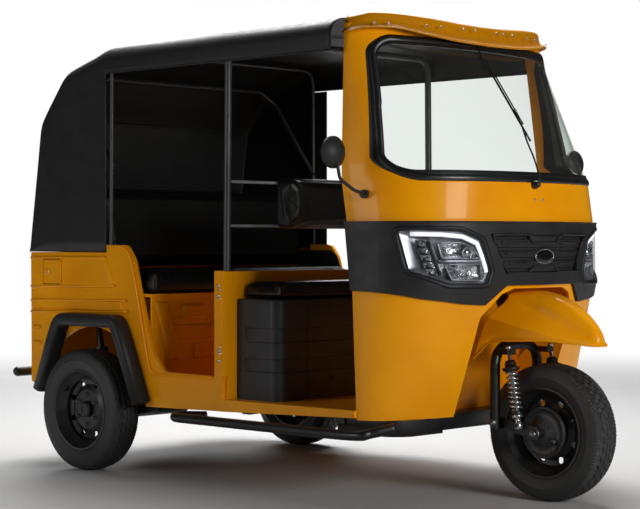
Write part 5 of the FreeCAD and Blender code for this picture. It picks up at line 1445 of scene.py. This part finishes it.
def make_mudguard(material):
    """The pressing as rows that run from its back edge to the blunt nose, and its hem."""
    count = len(guard_rows(GUARD_BACK_MM))
    fine = np.linspace(GUARD_BACK_MM, GUARD_NOSE_MM, GUARD_SAMPLES)
    sections = np.array([guard_rows(x) for x in fine])
    rear_z, rear_x = np.array([p[0] for p in GUARD_REAR_MM]), np.array([p[1] for p in GUARD_REAR_MM])
    points, faces = [], []
    for k in range(count):
        free = fine >= np.interp(sections[:, k, 1], rear_z, rear_x)
        start = fine[np.argmax(free)]
        for x in np.linspace(start, GUARD_NOSE_MM, GUARD_STEPS):
            points.append((x, np.interp(x, fine, sections[:, k, 0]), np.interp(x, fine, sections[:, k, 1])))
    right = [at(x, -y, z) for x, y, z in points]
    left = [at(x, y, z) for x, y, z in points[:(count - 1) * GUARD_STEPS]]
    index = [list(range(k * GUARD_STEPS, (k + 1) * GUARD_STEPS)) for k in range(count)]
    other = [[len(right) + i for i in row] for row in index[:-1]] + [index[-1]]
    for rows in (index, other):
        for low, high in zip(rows, rows[1:]):
            for i in range(GUARD_STEPS - 1):
                faces.append((low[i], low[i + 1], high[i + 1], high[i]))
    tip = [row[-1] for row in index]
    faces.append(tuple(tip + [row[-1] for row in reversed(other[:-1])]))
    guard = mesh_object("front_mudguard_pressing", right + left, faces, material)
    creased = {i for rows in (index, other) for k in CREASE_ROWS for i in rows[k]}
    for edge in guard.data.edges:
        edge.use_edge_sharp = creased.issuperset(edge.vertices)
    facing_up(guard)
    thicken(guard, GUARD_SHEET_MM)
    hem_x = np.linspace(GUARD_BACK_MM, GUARD_NOSE_MM - HEM_FROM_NOSE_MM, GUARD_HEM_STEPS)
    hem = [(x, float(np.interp(x, fine, sections[:, 0, 0])), float(np.interp(x, fine, sections[:, 0, 1])))
           for x in hem_x]
    route = [at(x, -y, z) for x, y, z in hem] + [at(x, y, z) for x, y, z in reversed(hem)]
    return guard, tube_along("front_mudguard_hem", route, GUARD_HEM_RADIUS_MM, material, 8)


guard, guard_hem = make_mudguard(paint)
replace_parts(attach(guard, "steering"), "front_mudguard")
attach(guard_hem, "steering")

# -------------------- roof visor
# Pressed steel cap over the windscreen head: nearly flat on top, a cove down its face and a rolled lip that
# dips towards the middle, with the hood's front hem tucked under its back edge.
VISOR_BACK_MM, VISOR_SQUARE, VISOR_HALF_MM = 1382.0, 2.3, 540.0
VISOR_SHEET_MM, VISOR_MERGE_M = 1.6, 0.0002
# height of the top edge and of the lip for a share of the half width
TOP_EDGE_MM = ((0.0, 1775.0), (0.25, 1778.0), (0.56, 1789.0), (0.82, 1798.0), (0.94, 1799.0), (1.0, 1786.0))
LIP_EDGE_MM = ((0.0, 1701.0), (0.35, 1707.0), (0.62, 1723.0), (0.84, 1740.0), (0.955, 1740.0), (1.0, 1728.0))
# from the roof centre to the inside of the lip: half width, nose, blend between top edge 0 and lip 1, extra z
VISOR_ROWS = ((5.0, 1384.0, 0.0, 1.0), (220.0, 1470.0, 0.0, 4.0), (400.0, 1535.0, 0.0, 4.0),
              (505.0, 1568.0, 0.0, 3.0), (528.0, 1582.0, 0.0, 1.0), (539.0, 1590.0, 0.0, -4.0),
              (543.0, 1594.0, 0.16, 0.0), (545.0, 1597.0, 0.45, 0.0), (548.0, 1602.0, 0.7, 0.0),
              (554.0, 1613.0, 0.86, 0.0), (561.0, 1628.0, 0.95, 0.0), (565.0, 1637.0, 0.99, 1.0),
              (566.0, 1640.0, 1.02, 0.0), (564.0, 1638.0, 1.06, -1.0), (556.0, 1620.0, 1.05, 0.0),
              (553.0, 1600.0, 1.0, 2.0))
VISOR_STEPS = 72


def make_visor(material):
    """The cap as squared-off half rings from the roof centre out over the edge and in behind the lip."""
    top_share, top_z = zip(*TOP_EDGE_MM)
    points, faces = [], []
    for half, nose, blend, extra in VISOR_ROWS:
        for k in range(VISOR_STEPS + 1):
            turn = math.pi * (k / VISOR_STEPS - 0.5)
            share = 2.0 / VISOR_SQUARE
            x = VISOR_BACK_MM + (nose - VISOR_BACK_MM) * abs(math.cos(turn)) ** share
            y = math.copysign(half * abs(math.sin(turn)) ** share, turn)
            reach = abs(y) / half
            crown = float(curve_through(TOP_EDGE_MM, reach)) if blend > 0.0 else float(
                np.interp(abs(y) / VISOR_HALF_MM, top_share, top_z))
            z = crown + (float(curve_through(LIP_EDGE_MM, reach)) - crown) * blend + extra
            points.append(at(x, y, z))
    row = VISOR_STEPS + 1
    for k in range(len(VISOR_ROWS) - 1):
        for i in range(VISOR_STEPS):
            faces.append((k * row + i, k * row + i + 1, (k + 1) * row + i + 1, (k + 1) * row + i))
    cap = mesh_object("roof_visor_pressing", points, faces, material)
    facing_up(cap, VISOR_MERGE_M)
    thicken(cap, VISOR_SHEET_MM)
    return cap


# The visor carries the body's own enamel drawn deeper: painted shade on the cap's face.
visor_paint_with_painted_shade = two_pack_paint("two_pack_yellow_enamel_on_visor", "bc7800", "c47f02")
visor = make_visor(visor_paint_with_painted_shade)
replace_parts(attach(visor, "body"), "roof_visor")

# -------------------- driver's seat box
# Moulded black box under the driver's seat: rounded front corners, two shallow bands pressed round it and a
# split line where its service door meets the side, with fixing holes drawn as raised rings round very dark
# discs, the discs painted shade of the holes.
BOX_BACK_MM, BOX_FRONT_MM, BOX_HALF_MM, BOX_CORNER_MM = 814.5, 1039.5, 554.5, 46.0
BOX_LEVELS_MM = ((342.5, 0.0), (452.0, 0.0), (454.5, 5.0), (502.0, 5.0), (504.5, 0.0), (566.0, 0.0),
                 (568.5, 5.0), (620.0, 5.0), (622.5, 0.0), (724.0, 0.0), (731.0, 3.0), (734.5, 10.0))
BAND_STARTS_MM, ROUNDED_ABOVE_MM, BOX_CORNER_STEPS = 862.0, 725.0, 8
SPLIT_LINE_MM, SPLIT_DEPTH_MM, SPLIT_HALF_MM, SPLIT_OFFSETS_MM = 389.0, 4.0, 1.2, (-1.6, -1.0, 1.0, 1.6)
BOX_HOLES_MM = ((412.0, 540.0, 9.0), (408.0, 370.0, 9.0), (254.0, 419.0, 15.0))


def stacked(name, rings, material, degrees):
    """A closed form from equal rings of points laid one above the other, with both ends shut."""
    count = len(rings[0])
    faces = [(low + i, low + (i + 1) % count, low + count + (i + 1) % count, low + count + i)
             for low in range(0, count * (len(rings) - 1), count) for i in range(count)]
    faces += [tuple(range(count * (len(rings) - 1), count * len(rings))), tuple(reversed(range(count)))]
    made = mesh_object(name, [p for ring in rings for p in ring], faces, material)
    crisp_edges(made, degrees)
    return made


def make_seat_box(material):
    """The box as one plan of (x, y, outward x, outward y), drawn in by each level's inset."""
    half, corner = BOX_HALF_MM, BOX_CORNER_MM
    plan = [(x, -half, 0.0, -1.0) for x in (BOX_BACK_MM, BAND_STARTS_MM - 1, BAND_STARTS_MM)]
    for k in range(BOX_CORNER_STEPS + 1):
        turn = math.pi / 2 * k / BOX_CORNER_STEPS
        plan.append((BOX_FRONT_MM - corner * (1 - math.sin(turn)), -half + corner * (1 - math.cos(turn)),
                     math.sin(turn), -math.cos(turn)))
    plan += [(BOX_FRONT_MM, -SPLIT_LINE_MM + off, 1.0, 0.0) for off in SPLIT_OFFSETS_MM]
    plan += [(x, -y, nx, -ny) for x, y, nx, ny in reversed(plan)]
    rings = []
    for z, inset in BOX_LEVELS_MM:
        ring = []
        for x, y, nx, ny in plan:
            depth = inset if z > ROUNDED_ABOVE_MM or x >= BAND_STARTS_MM else 0.0
            if abs(abs(y) - SPLIT_LINE_MM) < SPLIT_HALF_MM and nx == 1.0:
                depth += SPLIT_DEPTH_MM
            ring.append(at(x - nx * depth, y - ny * depth, z))
        rings.append(ring)
    return stacked("driver_seat_box_moulding", rings, material, 35.0)


box_plastic = grained_moulding("grained_abs_seat_box", "242425", "2e2e2f", 2.2, 0.42, 0.52, 0.2)
seat_box = make_seat_box(box_plastic)
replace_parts(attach(seat_box, "body"), "driver_seat_box")
# Each fixing hole is a raised ring round a very dark disc that is painted shade of the hole.
hole_shade_discs = [turned("hole_shade_disc", at(BOX_FRONT_MM, side * y, z), Vector((1, 0, 0)), [
    (radius, 0.1), (radius - 0.5, 1.6), (radius * 0.8, 1.4), (radius * 0.7, 0.5), (0, 0.5)], dark_trim_and_painted_shade, 20)
    for y, z, radius in BOX_HOLES_MM for side in (-1, 1)]
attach(join_pieces("seat_box_holes_as_painted_shade", hole_shade_discs), "body")

# -------------------- bench riser pressings
# The steel riser under the bench is stiffened by raised pads and a branched rib, pressed in one blow.
RISER_PADS_MM = (((-586, 712), (-520, 712), (-440, 467), (-519, 467)),
                 ((-500, 614), (-160, 612), (-160, 553), (-482, 556)),
                 ((-436, 698), (-311, 696), (-311, 634), (-431, 637)),
                 ((-383, 534), (-250, 532), (-250, 468), (-376, 470)),
                 ((-210, 698), (-85, 696), (-85, 634), (-205, 637)))
RISER_RISE_MM, RISER_CORNER_MM = 7.0, 9.0
# share of a pad's outline kept, height
RISER_LEVELS_MM = ((1.0, 0.2), (0.985, RISER_RISE_MM * 0.3), (0.955, RISER_RISE_MM * 0.85),
                   (0.93, RISER_RISE_MM), (0.5, RISER_RISE_MM), (0.0, RISER_RISE_MM))

riser_surface = surface_of("bench_base")
pads = []
for flip in (1, -1):
    for corners in RISER_PADS_MM:
        outline = rounded_outline([(y * flip, z) for y, z in corners], [RISER_CORNER_MM] * 4, 12.0, 4)
        pads.append(dished_patch("pad", riser_surface, outline, RISER_LEVELS_MM, paint))
riser = join_pieces("bench_riser_pressings", pads)
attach(riser, "body")

# -------------------- fuel flap, plates and lamps at the tail
# A pressed flap with a dark gap round it and a chromed key lock, red tail lenses and a blank white plate.
FLAP_EDGE_MM = ((-323.0, 776.0), (-204.0, 776.0), (-204.0, 877.0), (-323.0, 877.0))
FLAP_LOCK_MM = (-298.0, 826.0)
FLAP_FACE_MM, FLAP_CORNER_MM, FLAP_GAP_MM = 624.5, 10.0, 1.3
FLUTES_SCALE = 24.0


def edge_route(corners, radius, y):
    """Closed rounded outline in a side plane, as points on the vehicle."""
    outline = rounded_outline(corners, [radius] * len(corners), 14.0, 5)
    route = [at(p[0], y, p[1]) for p in outline]
    return route + [route[0]]


flap_gap = tube_along("fuel_flap_gap", edge_route(FLAP_EDGE_MM, FLAP_CORNER_MM, -FLAP_FACE_MM),
                      FLAP_GAP_MM, rubber, 6)
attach(flap_gap, "body")
lock = turned("fuel_flap_lock", at(FLAP_LOCK_MM[0], -FLAP_FACE_MM, FLAP_LOCK_MM[1]), Vector((0, -1, 0)), [
    (12, -0.5), (12, 1.5), (10.5, 2.6), (7, 2.8), (6.5, 1.8), (0, 1.8)], chrome, 24)
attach(lock, "fuel_flap")


def red_lens():
    """Moulded red acrylic over a reflector, with fine vertical flutes."""
    material, tree, place = new_material("moulded_red_acrylic")
    flutes = add(tree, "ShaderNodeTexWave", {"Vector": place, "Scale": FLUTES_SCALE}, bands_direction="Y")
    relief = bumps(tree, flutes.outputs["Fac"], 0.4, 0.001)
    lens_skin = add(tree, "ShaderNodeBsdfPrincipled", {
        "Base Color": tinted(tree, noise(tree, place, 35.0), "8c0a08", "a80f0c"), "IOR": 1.49,
        "Roughness": spread(tree, noise(tree, place, 20.0), 0.08, 0.16), "Normal": relief})
    return surfaced(material, lens_skin)


def plate_enamel():
    """Blank number plate: white enamel on aluminium, a little chalky."""
    material, tree, place = new_material("white_enamel_on_aluminium")
    cloud = noise(tree, place, 60.0, 4.0)
    enamel = add(tree, "ShaderNodeBsdfPrincipled", {
        "Base Color": tinted(tree, cloud, "e0e0dc", "e6e6e2"), "Roughness": spread(tree, cloud, 0.35, 0.5)})
    return surfaced(material, enamel)


dress(("tail_lamps",), red_lens())
dress(("number_plate",), plate_enamel())

# -------------------- far side painted shade board and door screws
# Black board just inside the left rear panel, painted shade over the inside of that panel, and the round-head
# screws down the door pillars.
SHADE_BOARD_MM = ((20.0, 560.0), (20.0, 915.0), (225.0, 915.0), (262.0, 896.0), (290.0, 830.0), (340.0, 640.0),
           (352.0, 560.0))
SHADE_BOARD_RADII_MM, SHADE_BOARD_FACE_MM, SHADE_BOARD_THICK_MM = (4.0, 4.0, 20.0, 20.0, 30.0, 20.0, 4.0), 596.0, 6.0
PILLAR_SCREWS_MM = ((781.0, 784.0), (781.0, 745.0), (787.0, 531.0), (787.0, 492.0), (798.0, 365.0))


def make_painted_shade_board(material):
    """Thin black board with a soft front edge, 6 mm thick, just inside the left rear panel: painted shade."""
    outline = rounded_outline(SHADE_BOARD_MM, SHADE_BOARD_RADII_MM, 20.0, 4)
    count = len(outline)
    points = [at(x, y, z) for y in (SHADE_BOARD_FACE_MM, SHADE_BOARD_FACE_MM + SHADE_BOARD_THICK_MM) for x, z in outline]
    faces = [tuple(range(count)), tuple(reversed(range(count, count * 2)))]
    faces += [(k, k + count, (k + 1) % count + count, (k + 1) % count) for k in range(count)]
    return mesh_object("quarter_trim_left", points, faces, material)


# The board darkens the inside of the left rear panel as painted shade.
shade_board = make_painted_shade_board(box_plastic)
outward(shade_board, False)
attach(shade_board, "body")
pillar_surface = surface_of("b_posts")
screws = []
for side in (-1, 1):
    for x, z in PILLAR_SCREWS_MM:
        place, normal = side_point(pillar_surface, x, z, side, 0.2)
        if place is not None:
            screws.append((place, normal))
screw_set("pillar_screws", screws, "body", zinc)

# -------------------- rear wheel arch flares
# Black moulded flares over the rear wheels: a flat band with well rounded edges, clipped to the panel.
FLARE_LINE_MM = ((-303.0, 322.0), (-201.0, 560.0), (-166.0, 628.0), (196.0, 628.0), (226.0, 582.0),
                 (351.0, 300.0))
FLARE_SECTION_MM = ((-26.0, 0.0), (-27.0, 46.0), (-24.0, 58.0), (-17.0, 65.0), (-7.0, 68.0), (7.0, 68.0),
                    (17.0, 65.0), (24.0, 58.0), (27.0, 46.0), (26.0, 0.0))
FLARE_BASE_MM, FLARE_BEND_MM, BEND_SHARES = 622.0, 55.0, (0, 0.2, 0.4, 0.6, 0.8, 1.0)


def make_flare(side, material):
    """One flare swept along its line, with each bend eased by a curve between two points beside it."""
    line = [Vector(p) for p in FLARE_LINE_MM]
    route = []
    for i, here in enumerate(line):
        if i in (0, len(line) - 1):
            route.append(here)
            continue
        back, ahead = (line[i - 1] - here), (line[i + 1] - here)
        reach = min(FLARE_BEND_MM, back.length * 0.45, ahead.length * 0.45)
        first, last = here + back.normalized() * reach, here + ahead.normalized() * reach
        route += [first.lerp(here, t).lerp(here.lerp(last, t), t) for t in BEND_SHARES]
    frames = []
    for i, place in enumerate(route):
        along = (route[min(i + 1, len(route) - 1)] - route[max(i - 1, 0)]).normalized()
        frames.append((at(place.x, side * FLARE_BASE_MM, place.y), Vector((-along.y, 0, along.x)),
                       Vector((0, side, 0))))
    return sweep("flare", frames, FLARE_SECTION_MM, material, closed=False)


flares = [make_flare(side, charcoal) for side in (-1, 1)]
for flare in flares:
    outward(flare)
flare_pair = join_pieces("rear_flare_mouldings", flares)
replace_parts(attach(flare_pair, "body"), "fender_flares")

# -------------------- swage lines and door flange
# Swages pressed into the rear side panels and the rolled return flange round the passenger door.
SWAGES_MM = (((-418.0, 762.0), (112.0, 771.0), (124.0, 776.0), (122.0, 790.0), (66.0, 880.0), (54.0, 887.0),
              (-418.0, 886.0)),
             ((-418.0, 701.0), (180.0, 712.0), (190.0, 706.0), (196.0, 675.0), (190.0, 666.0),
              (-418.0, 652.0)))
DOOR_EDGE_MM = ((112.0, 934.0), (178.0, 936.0), (222.0, 922.0), (252.0, 884.0), (279.0, 800.0),
                (317.0, 650.0), (352.0, 505.0), (372.0, 440.0), (400.0, 424.0), (470.0, 420.0), (745.0, 424.0))
SWAGE_RADIUS_MM, FLANGE_RADIUS_MM, SWAGE_FACE_MM, FLANGE_FACE_MM = 4.5, 5.0, 623.2, 622.5

presses = []
for side in (-1, 1):
    for line in SWAGES_MM:
        route = smooth_route([at(x, side * SWAGE_FACE_MM, z) for x, z in line], 5)
        presses.append(tube_along("swage", route, SWAGE_RADIUS_MM, paint, 8))
    route = smooth_route([at(x, side * FLANGE_FACE_MM, z) for x, z in DOOR_EDGE_MM], 5)
    presses.append(tube_along("flange", route, FLANGE_RADIUS_MM, paint, 8))
swages = join_pieces("side_panel_swages", presses)
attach(swages, "body")

# -------------------- step bars and valance
# Bent tube steps below the doors, and the black pressed valance that closes the cab floor in front.
STEP_ROUTE_MM = ((640.0, 560.0, 264.0), (572.0, 596.0, 262.0), (548.0, 636.0, 261.0), (584.0, 661.0, 260.0),
                 (700.0, 662.0, 260.0), (1120.0, 662.0, 260.0), (1520.0, 662.0, 262.0),
                 (1585.0, 628.0, 272.0), (1640.0, 560.0, 290.0))
STEP_RADIUS_MM = 19.0
VALANCE_MM = ((1380.0, 584.0), (1560.0, 572.0), (1612.0, 556.0), (1646.0, 524.0), (1660.0, 480.0),
              (1662.0, 320.0), (1600.0, 300.0))
VALANCE_LEVELS_MM = ((252.0, 14.0), (256.0, 6.0), (266.0, 0.0), (313.0, 0.0))

steps_pair = join_pieces("side_step_tubes", [
    tube_along("step", smooth_route([at(x, side * y, z) for x, y, z in STEP_ROUTE_MM], 6), STEP_RADIUS_MM,
               stove_black, 20) for side in (-1, 1)])
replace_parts(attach(steps_pair, "body"), "step_bars")


def make_valance(material):
    """The valance as one plan round the front of the floor, drawn in towards its lower edge."""
    rings = [[at(x - inset, -(y - inset), z) for x, y in VALANCE_MM]
             + [at(x - inset, y - inset, z) for x, y in reversed(VALANCE_MM)]
             for z, inset in VALANCE_LEVELS_MM]
    return stacked("front_valance", rings, material, 40.0)


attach(make_valance(stove_black), "body")

# -------------------- grab rails
# Two slim steel rails between the door posts behind the driver, powder-coated pale grey, welded to the posts.
RAIL_X_MM, RAIL_HALF_MM, RAIL_RADIUS_MM, RAIL_HEIGHTS_MM = 812.0, 601.0, 6.0, (1190.0, 1018.0)

rail_coat = stoved_coat("pale_grey_powder_coat_on_tube", "6f7072", "87888a", 70.0, 0.35, 0.45)
grab_rails = join_pieces("slim_grab_rails", [
    tube_along("rail", [at(RAIL_X_MM, y, z) for y in (-RAIL_HALF_MM, 0.0, RAIL_HALF_MM)], RAIL_RADIUS_MM,
               rail_coat, 14) for z in RAIL_HEIGHTS_MM])
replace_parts(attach(grab_rails, "body"), "backrest_rails")
